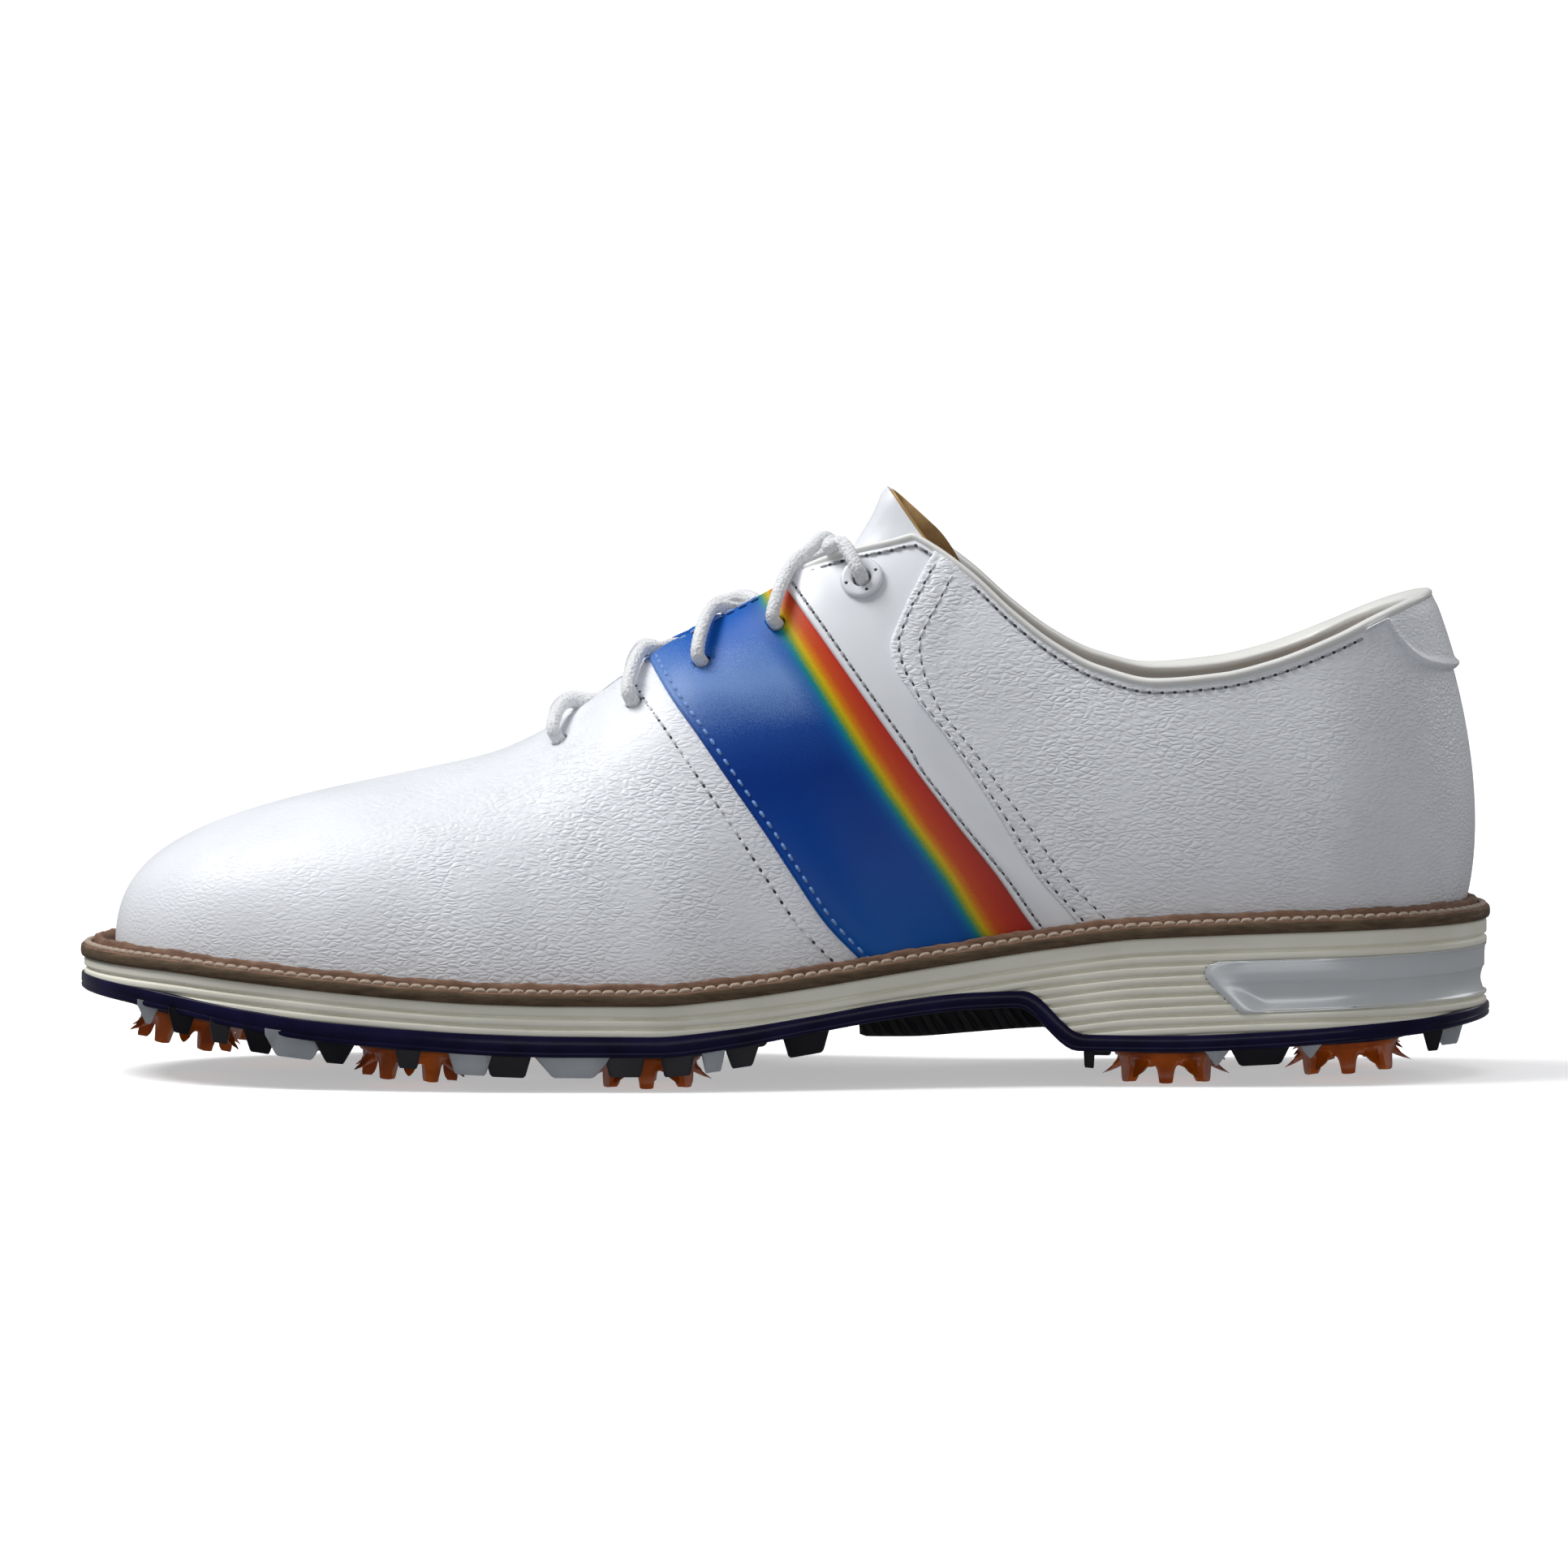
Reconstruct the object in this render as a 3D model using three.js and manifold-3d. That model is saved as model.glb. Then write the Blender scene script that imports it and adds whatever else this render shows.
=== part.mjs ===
// A left golf shoe with a saddle stripe, a welted sole and nine screw-in cleats, in millimetres.
// +X runs from toe to heel, -Y is the outer (lateral) side, +Z is up and z = 0 is the ground.
import * as THREE from "three";
import { mergeVertices } from "three/addons/utils/BufferGeometryUtils.js";
import Module from "manifold-3d";

const wasm = await Module();
wasm.setup();

// ---------------------------------------------------------------- driving dimensions
const HALF_LENGTH = 152; // half the sole's length, a men's US 9
const GAP = 0.3; // clearance between touching pieces
const LAYER_GAP = 0.8; // clearance between the curved layers of the upper
const LEATHER = 1.4; // thickness of the outer leather
const LINING = 1.0; // thickness of the lining
const STIFFENER = 0.9; // thickness of the toe puff and heel counter
const WELT_THICKNESS = 2.6;
const CLEAT_HEIGHT = 7.3; // from its seat to its feet
const CLEAT_REACH = 13.7; // radius across the leg tips
const CROWN_RADIUS = 11.3;
const CROWN_THICKNESS = 1.9;
const POST_RADIUS = 4.4;
const POST_LENGTH = 4.5;
const POST_SIDES = 12;
const SOCKET_RADIUS = 7.2;
const SOCKET_LENGTH = 5.6;
const LACE_RADIUS = 1.5;
const SOLE_STEPS = 40; // points round a sole piece

// Half widths of the sole's edge: x, inner (medial) side, outer (lateral) side.
const SOLE_WIDTHS = [
  [-146, 21.5, 21],
  [-135, 34, 33.5],
  [-115, 44.5, 44.5],
  [-90, 51, 51],
  [-60, 54, 54.5],
  [-30, 50.5, 54.5],
  [0, 41, 49.5],
  [30, 34, 43],
  [60, 33.5, 39.5],
  [90, 37, 40],
  [115, 37, 38.5],
  [135, 29.5, 30.5],
  [146, 19, 19.5],
];
// Heights along the sole: x, z.
const OUTSOLE_BOTTOM = [
  [-152, 18.6],
  [-134, 16.2],
  [-117, 13],
  [-99, 10.5],
  [-80, 9.1],
  [-64, 8.1],
  [-47, 7.6],
  [-27, 7.6],
  [-12, 9.2],
  [6, 12.3],
  [23, 15],
  [40, 16.8],
  [49.6, 17.1],
  [62.5, 7.8],
  [82, 7.6],
  [102, 8.3],
  [121, 9.6],
  [137, 10.7],
  [152, 12.6],
];
const OUTSOLE_TOP = [
  [-152, 21.5],
  [-134, 19.4],
  [-117, 16.6],
  [-99, 14.2],
  [-80, 12.8],
  [-64, 12],
  [-47, 11.5],
  [-29, 11.4],
  [-12, 12.8],
  [6, 15.4],
  [23, 18.1],
  [40, 19.9],
  [51.1, 20.1],
  [63.7, 10.8],
  [82, 10.5],
  [102, 11.2],
  [121, 12.4],
  [137, 13.4],
  [152, 15],
];
const MIDSOLE_TOP = [
  [-152, 25.4],
  [-134, 24.5],
  [-117, 22.9],
  [-99, 21.2],
  [-80, 19.7],
  [-64, 18.8],
  [-47, 18.4],
  [-29, 18.4],
  [-12, 19.6],
  [6, 21.9],
  [23, 24.5],
  [40, 27.1],
  [58, 29.7],
  [76, 31.7],
  [110, 33],
  [152, 33.7],
];
// The last, which is the foot shape that every upper panel lies on.
const FEATHER_INSET = [
  [-152, 7.5],
  [-100, 7],
  [0, 6.4],
  [152, 5.9],
];
const TOE_CENTRE = -90;
const HEEL_CENTRE = 105;
const RIDGE_HEIGHT = [
  [-100, 61],
  [-80, 65.2],
  [-64, 68.8],
  [-54, 73],
  [-45, 79],
  [-35, 87],
  [-20, 97.8],
  [-5, 108],
  [5, 115.5],
  [20, 126],
  [40, 138],
  [70, 146],
  [110, 150],
];
// Handles of the section's Bezier curve, from the feather line to the ridge: x, then
// reach and rise of the lower handle, then reach and rise of the upper one.
const SECTION = [
  [-95, 1.03, 0.6, 0.72, 1],
  [-60, 1.03, 0.5, 0.68, 1],
  [-20, 1.02, 0.38, 0.58, 1],
  [20, 1.08, 0.3, 0.62, 0.98],
  [70, 1.2, 0.27, 0.78, 0.84],
  [110, 1.24, 0.25, 0.84, 0.8],
];
// Seams between the upper's panels, as the side view shows them: z, x.
const SADDLE_FRONT = [
  [18, 26],
  [28, 15.2],
  [35, 8.6],
  [45, 1.8],
  [55, -4.8],
  [66, -12.6],
  [75, -19],
  [83, -25],
  [89, -28.9],
  [96, -33],
];
const SADDLE_REAR = [
  [18, 66],
  [34, 52.8],
  [45, 45.2],
  [55, 37.3],
  [69, 26.7],
  [83, 16.6],
  [96, 7.2],
  [107, -1],
  [118, -8],
];
const QUARTER_FRONT = [
  [20, 73],
  [35, 62],
  [45, 53.3],
  [61, 43.4],
  [75, 33.8],
  [84, 26.6],
  [89, 23.4],
  [94, 22.4],
  [98, 23.8],
  [105, 27],
  [114, 32],
  [122, 37],
];
// The upper's top edge: half the throat's gap by x, and the topline's height by x.
const THROAT_GAP = [
  [-53, 0],
  [-50, 3.5],
  [-44, 5.5],
  [-30, 8],
  [0, 12],
  [30, 17],
  [45, 12],
  [58, 0],
  [152, 0],
];
const TOPLINE = [
  [-20, 130],
  [-6, 112],
  [3, 112],
  [9, 115],
  [15, 118],
  [20, 118.8],
  [25, 117.4],
  [32, 113.8],
  [40, 108],
  [49, 99.8],
  [58, 93],
  [67, 88.4],
  [79, 85.6],
  [93, 86.7],
  [104, 89.2],
  [118, 94.4],
  [128, 98.9],
  [138, 102.6],
  [150, 106],
];
const THROAT_START = -53;
const HEEL_TAB_EDGE = [
  [120, 104],
  [127, 98.5],
  [132, 92.6],
  [138, 89.4],
  [144, 88],
  [152, 88],
];
// Eyelets from the top down, as x and z in the side view.
const EYELETS = [
  [16.5, 107.6],
  [-1.9, 98.2],
  [-17.9, 90],
  [-32.6, 81.4],
  [-48.6, 73],
];
// Cleats: name, x, y.
const CLEATS = [
  ["toe_outer", -128, -15.5],
  ["toe_inner", -109, 22],
  ["ball_outer", -80, -33],
  ["waist_outer", -29.4, -35],
  ["ball_inner", -44, 31],
  ["heel_front_outer", 81.8, -21],
  ["heel_front_inner", 83.5, 19.5],
  ["heel_rear_outer", 120.5, -19],
  ["heel_rear_inner", 121.5, 17.5],
];
// Tread lugs: x, y, length, width, depth below the outsole, and whether the plastic is clear.
const LUGS = [
  [-136.5, -30.5, 5, 4, 4, true],
  [-110, -37.5, 6, 6, 4, false],
  [-107, -5, 9, 8, 3.4, false],
  [-101, -42.5, 9, 6, 4.2, true],
  [-82, 10, 12, 9, 3.4, false],
  [-62, -46.5, 9, 6, 4.4, true],
  [-55, -13, 12, 9, 3.4, true],
  [-52, -47.5, 8, 6, 4.6, false],
  [-9, -42, 9, 6, 4.2, true],
  [-8, 6, 12, 8, 3.4, false],
  [-2, -38, 7, 6, 3.4, false],
  [-136, 8, 8, 6, 4, false],
  [-136, 27, 7, 5, 4, true],
  [-88, 43, 9, 6, 4.2, false],
  [-74, 45, 9, 6, 4.4, true],
  [-64, 20, 10, 8, 3.4, false],
  [-24, 41, 9, 6, 4.4, true],
  [-12, 34, 9, 6, 4.2, false],
  [67, 1, 5, 16, 4, false],
  [66, -31, 3, 6, 4, false],
  [101, -31, 9, 6, 4.2, true],
  [102, 0, 13, 9, 3.6, false],
  [101, 29, 9, 6, 4.2, false],
  [138, -12, 5, 6, 4.4, false],
  [139, 11, 5, 6, 4.4, true],
];

// ---------------------------------------------------------------- curves
// A smooth function through [x, y] points that never overshoots them (monotone cubic).
function through(points, column = 1) {
  const x = points.map((p) => p[0]);
  const y = points.map((p) => p[column]);
  const slope = x.slice(1).map((v, i) => (y[i + 1] - y[i]) / (v - x[i]));
  const tangent = x.map((_, i) => {
    if (i === 0) return slope[0];
    if (i === x.length - 1) return slope[i - 1];
    const [a, b] = [slope[i - 1], slope[i]];
    return a * b <= 0 ? 0 : (2 * a * b) / (a + b);
  });
  return (at) => {
    if (at <= x[0]) return y[0] + tangent[0] * (at - x[0]);
    const end = x.length - 1;
    if (at >= x[end]) return y[end] + tangent[end] * (at - x[end]);
    const i = x.findIndex((v, k) => at <= x[k + 1]);
    const h = x[i + 1] - x[i];
    const t = (at - x[i]) / h;
    const [t2, t3] = [t * t, t * t * t];
    return (
      y[i] * (2 * t3 - 3 * t2 + 1) +
      tangent[i] * h * (t3 - 2 * t2 + t) +
      y[i + 1] * (3 * t2 - 2 * t3) +
      tangent[i + 1] * h * (t3 - t2)
    );
  };
}
const mix = (a, b, t) => a + (b - a) * t;
const soft = (u, k) => k * Math.log(1 + Math.exp(u / k));
const radians = (degrees) => (degrees * Math.PI) / 180;

const outsoleBottom = through(OUTSOLE_BOTTOM);
const outsoleTop = through(OUTSOLE_TOP);
const midsoleTop = through(MIDSOLE_TOP);
const featherInset = through(FEATHER_INSET);
const ridgeHeight = through(RIDGE_HEIGHT);
const section = [1, 2, 3, 4].map((column) => through(SECTION, column));
const throatGap = through(THROAT_GAP);
const topline = through(TOPLINE);
const heelTabEdge = through(HEEL_TAB_EDGE);

// The sole's edge. The angle s runs from the heel (-PI) along the outer side to the toe (0)
// and back along the inner side to the heel (PI).
const angleAt = (x) => Math.acos(THREE.MathUtils.clamp(-x / HALF_LENGTH, -1, 1));
function widthBySide(column) {
  const points = SOLE_WIDTHS.map((row) => [angleAt(row[0]), row[column]]);
  const [first, last] = [points[0], points[points.length - 1]];
  points.unshift([-first[0], -first[1]], [0, 0]);
  points.push([Math.PI, 0], [2 * Math.PI - last[0], -last[1]]);
  return through(points);
}
const innerWidth = widthBySide(1);
const outerWidth = widthBySide(2);
const sideShift = (() => {
  let [low, high] = [0, 0];
  for (let s = 0; s < Math.PI; s += 0.002) {
    low = Math.min(low, -outerWidth(s));
    high = Math.max(high, innerWidth(s));
  }
  return (low + high) / 2;
})();
function edge(s) {
  const y = s >= 0 ? innerWidth(s) : -outerWidth(-s);
  return new THREE.Vector2(-HALF_LENGTH * Math.cos(s), y - sideShift);
}
function insetEdge(s, inset) {
  const step = 1e-3;
  const tangent = edge(s + step).sub(edge(s - step)).normalize();
  const p = edge(s);
  return new THREE.Vector2(p.x + tangent.y * inset, p.y - tangent.x * inset);
}

// ---------------------------------------------------------------- the last
function ridgeX(x) {
  const fromToe = TOE_CENTRE + soft(x - TOE_CENTRE, 16);
  return HEEL_CENTRE - soft(HEEL_CENTRE - fromToe, 12);
}
// A point of the last's surface: s as above, t from the feather line (0) to the ridge (1).
function lastPoint(s, t) {
  const outline = edge(s);
  const foot = insetEdge(s, featherInset(outline.x));
  const xr = ridgeX(outline.x);
  const top = ridgeHeight(xr);
  const bottom = midsoleTop(foot.x) + 0.6;
  const [lowReach, lowRise, highReach, highRise] = section.map((f) => f(xr));
  const out = new THREE.Vector2(foot.x - xr, foot.y);
  const slope = (ridgeHeight(xr + 1) - ridgeHeight(xr - 1)) / 2;
  const rise = highRise + (slope * Math.min(out.x, 0) * highReach) / (top - bottom);
  const u = 1 - t;
  const reach = u * u * u + 3 * u * u * t * lowReach + 3 * u * t * t * highReach;
  const height = 3 * u * u * t * lowRise + 3 * u * t * t * rise + t * t * t;
  return new THREE.Vector3(
    xr + out.x * reach,
    out.y * reach,
    bottom + (top - bottom) * height,
  );
}
function ridgeNormal(s) {
  const xr = ridgeX(edge(s).x);
  const slope = (ridgeHeight(xr + 1) - ridgeHeight(xr - 1)) / 2;
  return new THREE.Vector3(-slope, 0, 1).normalize();
}
function lastNormal(s, t) {
  const [ds, dt] = [1e-3, 1e-3];
  const at = Math.min(t, 0.985);
  const alongS = lastPoint(s + ds, at).sub(lastPoint(s - ds, at));
  const alongT = lastPoint(s, at + dt).sub(lastPoint(s, Math.max(at - dt, 0)));
  const normal = alongT.cross(alongS).normalize();
  const share = THREE.MathUtils.smoothstep(t, 0.9, 1);
  return normal.lerp(ridgeNormal(s), share).normalize();
}
const offsetPoint = (s, t, distance) =>
  lastPoint(s, t).addScaledVector(lastNormal(s, t), distance);

function bisect(low, high, isHigh) {
  for (let i = 0; i < 40; i++) {
    const middle = (low + high) / 2;
    if (isHigh(middle)) high = middle;
    else low = middle;
  }
  return (low + high) / 2;
}
// t of the upper's top edge: the throat's edge in front, and the topline behind it.
function findTop(s) {
  if (ridgeX(edge(s).x) <= THROAT_START) return 1;
  const above = (t) => {
    const p = lastPoint(s, t);
    return Math.abs(p.y) < throatGap(p.x) || p.z > topline(p.x);
  };
  return bisect(0.2, 1, above);
}
const TOP_SAMPLES = 1440;
const topTable = Array.from({ length: TOP_SAMPLES + 1 }, (_, i) =>
  findTop(-Math.PI + (2 * Math.PI * i) / TOP_SAMPLES),
);
function topOf(s) {
  const at = THREE.MathUtils.clamp((s + Math.PI) / (2 * Math.PI), 0, 1) * TOP_SAMPLES;
  const i = Math.min(Math.floor(at), TOP_SAMPLES - 1);
  return mix(topTable[i], topTable[i + 1], at - i);
}
// The angle s where a seam crosses the share b of the way up to the top edge.
function seamAngle(side, seam, b, shift = 0) {
  const size = bisect(angleAt(-100), angleAt(140), (a) => {
    const p = lastPoint(side * a, b * topOf(side * a));
    return p.x > seam(p.z) + shift;
  });
  return side * size;
}
// The place (s, t) of a point of the side view.
function locate(side, x, z) {
  let t = 0.5;
  let s = side * angleAt(x);
  for (let i = 0; i < 60; i++) {
    t = bisect(0, 1, (v) => lastPoint(s, v).z > z);
    s = side * bisect(angleAt(-140), angleAt(140), (a) => lastPoint(side * a, t).x > x);
  }
  return [s, t];
}

// ---------------------------------------------------------------- solids
function geometryOf(triangles) {
  const flat = new Float32Array(triangles.length * 9);
  triangles.forEach((corners, i) => {
    corners.forEach((p, k) => p.toArray(flat, i * 9 + k * 3));
  });
  const loose = new THREE.BufferGeometry();
  loose.setAttribute("position", new THREE.BufferAttribute(flat, 3));
  const merged = mergeVertices(loose, 2e-3);
  const index = merged.index.array;
  const kept = [];
  for (let i = 0; i < index.length; i += 3) {
    const [a, b, c] = [index[i], index[i + 1], index[i + 2]];
    if (a !== b && b !== c && a !== c) kept.push(a, b, c);
  }
  merged.setIndex(kept);
  return merged;
}
function volumeOf(geometry) {
  const p = geometry.getAttribute("position");
  const index = geometry.index.array;
  const [a, b, c] = [0, 1, 2].map(() => new THREE.Vector3());
  let total = 0;
  for (let i = 0; i < index.length; i += 3) {
    a.fromBufferAttribute(p, index[i]);
    b.fromBufferAttribute(p, index[i + 1]);
    c.fromBufferAttribute(p, index[i + 2]);
    total += a.dot(b.cross(c)) / 6;
  }
  return total;
}
function facingOut(geometry) {
  if (volumeOf(geometry) > 0) return geometry;
  geometry.setIndex(Array.from(geometry.index.array).reverse());
  return geometry;
}
const quad = (a, b, c, d) => [
  [a, b, c],
  [a, c, d],
];
// A closed solid between two grids of points with the same rows and columns.
// Where both edges of the last row are welded to their mirror, weldTop(column) is true.
function between(outer, inner, weldTop = () => false) {
  const rows = outer.length;
  const columns = outer[0].length;
  const faces = [];
  for (let j = 0; j + 1 < rows; j++) {
    for (let i = 0; i + 1 < columns; i++) {
      const [o, n] = [outer, inner];
      faces.push(...quad(o[j][i], o[j][i + 1], o[j + 1][i + 1], o[j + 1][i]));
      faces.push(...quad(n[j][i], n[j + 1][i], n[j + 1][i + 1], n[j][i + 1]));
    }
    for (const [i, flip] of [[0, false], [columns - 1, true]]) {
      const side = [outer[j][i], outer[j + 1][i], inner[j + 1][i], inner[j][i]];
      faces.push(...quad(...(flip ? side.reverse() : side)));
    }
  }
  for (let i = 0; i + 1 < columns; i++) {
    faces.push(...quad(outer[0][i], inner[0][i], inner[0][i + 1], outer[0][i + 1]));
    if (weldTop(i)) continue;
    const j = rows - 1;
    faces.push(...quad(outer[j][i], outer[j][i + 1], inner[j][i + 1], inner[j][i]));
  }
  return facingOut(geometryOf(faces));
}
// A closed solid through a stack of rings of equal count. Each ring lists the outer side
// from front to back and then the inner side back again, so the end caps are strips.
function stack(rings) {
  const count = rings[0].length;
  const faces = [];
  for (let k = 0; k + 1 < rings.length; k++) {
    for (let i = 0; i < count; i++) {
      const j = (i + 1) % count;
      faces.push(...quad(rings[k][i], rings[k][j], rings[k + 1][j], rings[k + 1][i]));
    }
  }
  const cap = (ring, flip) => {
    for (let i = 0; i + 1 < count / 2; i++) {
      const [a, b] = [ring[i], ring[i + 1]];
      const [c, d] = [ring[count - 2 - i], ring[count - 1 - i]];
      faces.push(...(flip ? quad(a, b, c, d) : quad(d, c, b, a)));
    }
  };
  cap(rings[0], false);
  cap(rings[rings.length - 1], true);
  return facingOut(geometryOf(faces));
}
// Places along a sole piece: even steps of the angle, and the corners of the arch.
const ARCH_CORNERS = [49.6, 51.1, 62.5, 63.7];
function stations(fromX, toX, steps) {
  const [first, last] = [angleAt(fromX), angleAt(toX)];
  const even = Array.from({ length: steps + 1 }, (_, i) => mix(first, last, i / steps));
  const corners = ARCH_CORNERS.map(angleAt).filter((a) => a > first && a < last);
  const clear = (a) => corners.every((c) => Math.abs(a - c) > 0.07);
  return [...even.filter(clear), ...corners].sort((a, b) => a - b);
}
// A ring of the stack: the sole's edge moved in by inset, between two stations along x.
function soleRing(inset, height, fromX = -152, toX = 152, steps = SOLE_STEPS / 2) {
  const half = (side) =>
    stations(fromX, toX, steps).map((a) => {
      const p = insetEdge(side * a, inset);
      return new THREE.Vector3(p.x, p.y, height(-HALF_LENGTH * Math.cos(a)));
    });
  return [...half(-1), ...half(1).reverse()];
}
// A closed band: the same closed section swept round the whole sole's edge.
function band(profile, height, steps = SOLE_STEPS) {
  const faces = [];
  const ringAt = (i) => {
    const s = -Math.PI + (2 * Math.PI * (i % steps)) / steps;
    return profile.map(([inset, rise]) => {
      const p = insetEdge(s, inset);
      return new THREE.Vector3(p.x, p.y, height(p.x) + rise);
    });
  };
  for (let i = 0; i < steps; i++) {
    const [a, b] = [ringAt(i), ringAt(i + 1)];
    for (let k = 0; k < profile.length; k++) {
      const n = (k + 1) % profile.length;
      faces.push(...quad(a[k], a[n], b[n], b[k]));
    }
  }
  return facingOut(geometryOf(faces));
}
function toManifold(geometry) {
  const bare = new THREE.BufferGeometry();
  bare.setAttribute("position", geometry.getAttribute("position").clone());
  if (geometry.index) bare.setIndex(Array.from(geometry.index.array));
  const merged = mergeVertices(bare, 2e-3);
  const index = Array.from(merged.index.array);
  const kept = [];
  for (let i = 0; i < index.length; i += 3) {
    const [a, b, c] = index.slice(i, i + 3);
    if (a !== b && b !== c && a !== c) kept.push(a, b, c);
  }
  return new wasm.Manifold(
    new wasm.Mesh({
      numProp: 3,
      vertProperties: merged.getAttribute("position").array,
      triVerts: new Uint32Array(kept),
    }),
  );
}
function toGeometry(solid) {
  const mesh = solid.getMesh();
  const geometry = new THREE.BufferGeometry();
  const corners = new THREE.BufferAttribute(new Float32Array(mesh.vertProperties), 3);
  geometry.setAttribute("position", corners);
  geometry.setIndex(Array.from(mesh.triVerts));
  return geometry;
}
const combine = (geometries) =>
  toGeometry(geometries.map(toManifold).reduce((a, b) => a.add(b)));
// The largest piece that is left of a geometry once the cutters are taken away.
function cut(geometry, cutters) {
  let solid = toManifold(geometry);
  for (const cutter of cutters) solid = solid.subtract(toManifold(cutter));
  const pieces = solid.decompose();
  pieces.sort((a, b) => b.volume() - a.volume());
  return toGeometry(pieces[0]);
}
const placed = (geometry, matrix) => geometry.clone().applyMatrix4(matrix);
function cylinder(radius, low, high, sides = 16) {
  const made = new THREE.CylinderGeometry(radius, radius, high - low, sides);
  made.rotateX(Math.PI / 2);
  return made.translate(0, 0, (low + high) / 2);
}
function lathe(profile, sides) {
  const points = profile.map(([r, z]) => new THREE.Vector2(r, z));
  return new THREE.LatheGeometry(points, sides).rotateX(Math.PI / 2);
}

// ---------------------------------------------------------------- upper
// The grid of points of a panel: columns from angle first(b) to last(b), rows from the
// share low to the share high of the way up, moved out by distance(x).
function panelGrid({ first, last, low, high, columns, rows, distance, over = 0 }) {
  return Array.from({ length: rows + 1 }, (_, j) => {
    const b = mix(low, high, j / rows);
    const [from, to] = [first(b), last(b)];
    return Array.from({ length: columns + 1 }, (_, i) => {
      const s = mix(from, to, i / columns);
      const t = topOf(s) * b + over;
      return offsetPoint(s, t, distance(lastPoint(s, t).x));
    });
  });
}
function panel(shape, outerDistance, innerDistance, weldTop) {
  const outer = panelGrid({ ...shape, distance: outerDistance });
  const inner = panelGrid({ ...shape, distance: innerDistance });
  return between(outer, inner, weldTop);
}
const level = (distance) => () => distance;
const seams = {
  saddleFront: through(SADDLE_FRONT),
  saddleRear: through(SADDLE_REAR),
  quarterFront: through(QUARTER_FRONT),
};
// Distance of the lining's outer face: it goes behind the stiffeners at toe and heel.
const BEHIND_LEATHER = -LEATHER - LAYER_GAP;
const BEHIND_STIFFENER = BEHIND_LEATHER - STIFFENER - LAYER_GAP;
const liningFace = through([
  [-152, BEHIND_STIFFENER],
  [-98, BEHIND_STIFFENER],
  [-84, BEHIND_LEATHER],
  [70, BEHIND_LEATHER],
  [92, BEHIND_STIFFENER],
  [152, BEHIND_STIFFENER],
]);
const liningBack = (x) => liningFace(x) - LINING;
const TOP_SHARE = 0.988; // panels stop here, just under the topline's binding
const PANEL_ROWS = 8;

const span = (front, back, columns, rows, high = TOP_SHARE) => ({
  first: front,
  last: back,
  low: 0,
  high,
  columns,
  rows,
});
// The front panel runs from seam to seam over the toe. Its two halves meet on the ridge as
// far back as the throat, so their columns there have the same angles.
const THROAT_ANGLE = bisect(angleAt(-90), angleAt(-20), (a) => ridgeX(edge(a).x) > THROAT_START);
function frontPanel(columns, rows, shift, outerDistance, innerDistance) {
  const joined = Math.round(columns * 0.72);
  const angle = (side, b, i) =>
    i <= joined
      ? (THROAT_ANGLE * i) / joined
      : mix(
          THROAT_ANGLE,
          Math.abs(seamAngle(side, seams.saddleFront, b, -shift)),
          (i - joined) / (columns - joined),
        );
  const grid = (distance) =>
    Array.from({ length: rows + 1 }, (_, j) => {
      const b = j / rows;
      const half = (side) =>
        Array.from({ length: columns + 1 }, (_, i) => {
          const s = side * angle(side, b, i);
          const t = i <= joined ? b : b * Math.min(topOf(s), 0.999);
          return offsetPoint(s, t, distance(lastPoint(s, t).x));
        });
      return [...half(-1).reverse(), ...half(1).slice(1)];
    });
  const welded = (i) => i >= columns - joined && i < columns + joined;
  return between(grid(outerDistance), grid(innerDistance), welded);
}
function sidePanel(side, frontSeam, backSeam, columns, rows) {
  const shape = span(
    (b) => seamAngle(side, frontSeam, b, GAP / 2),
    (b) => seamAngle(side, backSeam, b, -GAP / 2),
    columns,
    rows,
  );
  return panel(shape, level(0), level(-LEATHER));
}
function quarter(side) {
  const backGap = 0.004;
  const shape = span(
    (b) => seamAngle(side, seams.quarterFront, b, GAP / 2),
    () => side * (Math.PI - backGap),
    11,
    PANEL_ROWS,
  );
  return panel(shape, level(0), level(-LEATHER));
}
function rearLining() {
  const grids = [liningFace, liningBack].map((distance) => {
    const half = (side) =>
      panelGrid({
        first: (b) => seamAngle(side, seams.saddleFront, b, GAP),
        last: () => side * Math.PI,
        low: 0,
        high: TOP_SHARE - 0.012,
        columns: 16,
        rows: PANEL_ROWS,
        distance,
      });
    const inner = half(1);
    return half(-1).map((row, j) => [...row, ...inner[j].slice(0, -1).reverse()]);
  });
  return between(...grids);
}
// A piece that wraps round the back of the heel between two shares of the height.
function heelWrap({ fromX, low, high, columns, rows, outer, inner }) {
  const start = angleAt(fromX);
  const grid = (distance) =>
    Array.from({ length: rows + 1 }, (_, j) =>
      Array.from({ length: columns + 1 }, (_, i) => {
        const turn = mix(start, 2 * Math.PI - start, i / columns);
        const s = turn > Math.PI ? turn - 2 * Math.PI : turn;
        return offsetPoint(s, mix(low(s), high(s), j / rows), distance);
      }),
    );
  return between(grid(outer), grid(inner));
}
const heelCounter = () =>
  heelWrap({
    fromX: 104,
    low: () => 0.03,
    high: (s) => 0.66 * topOf(s),
    columns: 14,
    rows: 4,
    outer: BEHIND_LEATHER,
    inner: BEHIND_LEATHER - STIFFENER,
  });
function heelTab() {
  const lowerEdge = (s) =>
    bisect(0.1, topOf(s), (t) => {
      const p = lastPoint(s, t);
      return p.z > heelTabEdge(p.x);
    });
  return heelWrap({
    fromX: 131,
    low: (s) => Math.min(lowerEdge(s), topOf(s) * 0.93),
    high: (s) => topOf(s) * TOP_SHARE,
    columns: 12,
    rows: 3,
    outer: GAP + 1.1,
    inner: GAP,
  });
}
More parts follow.
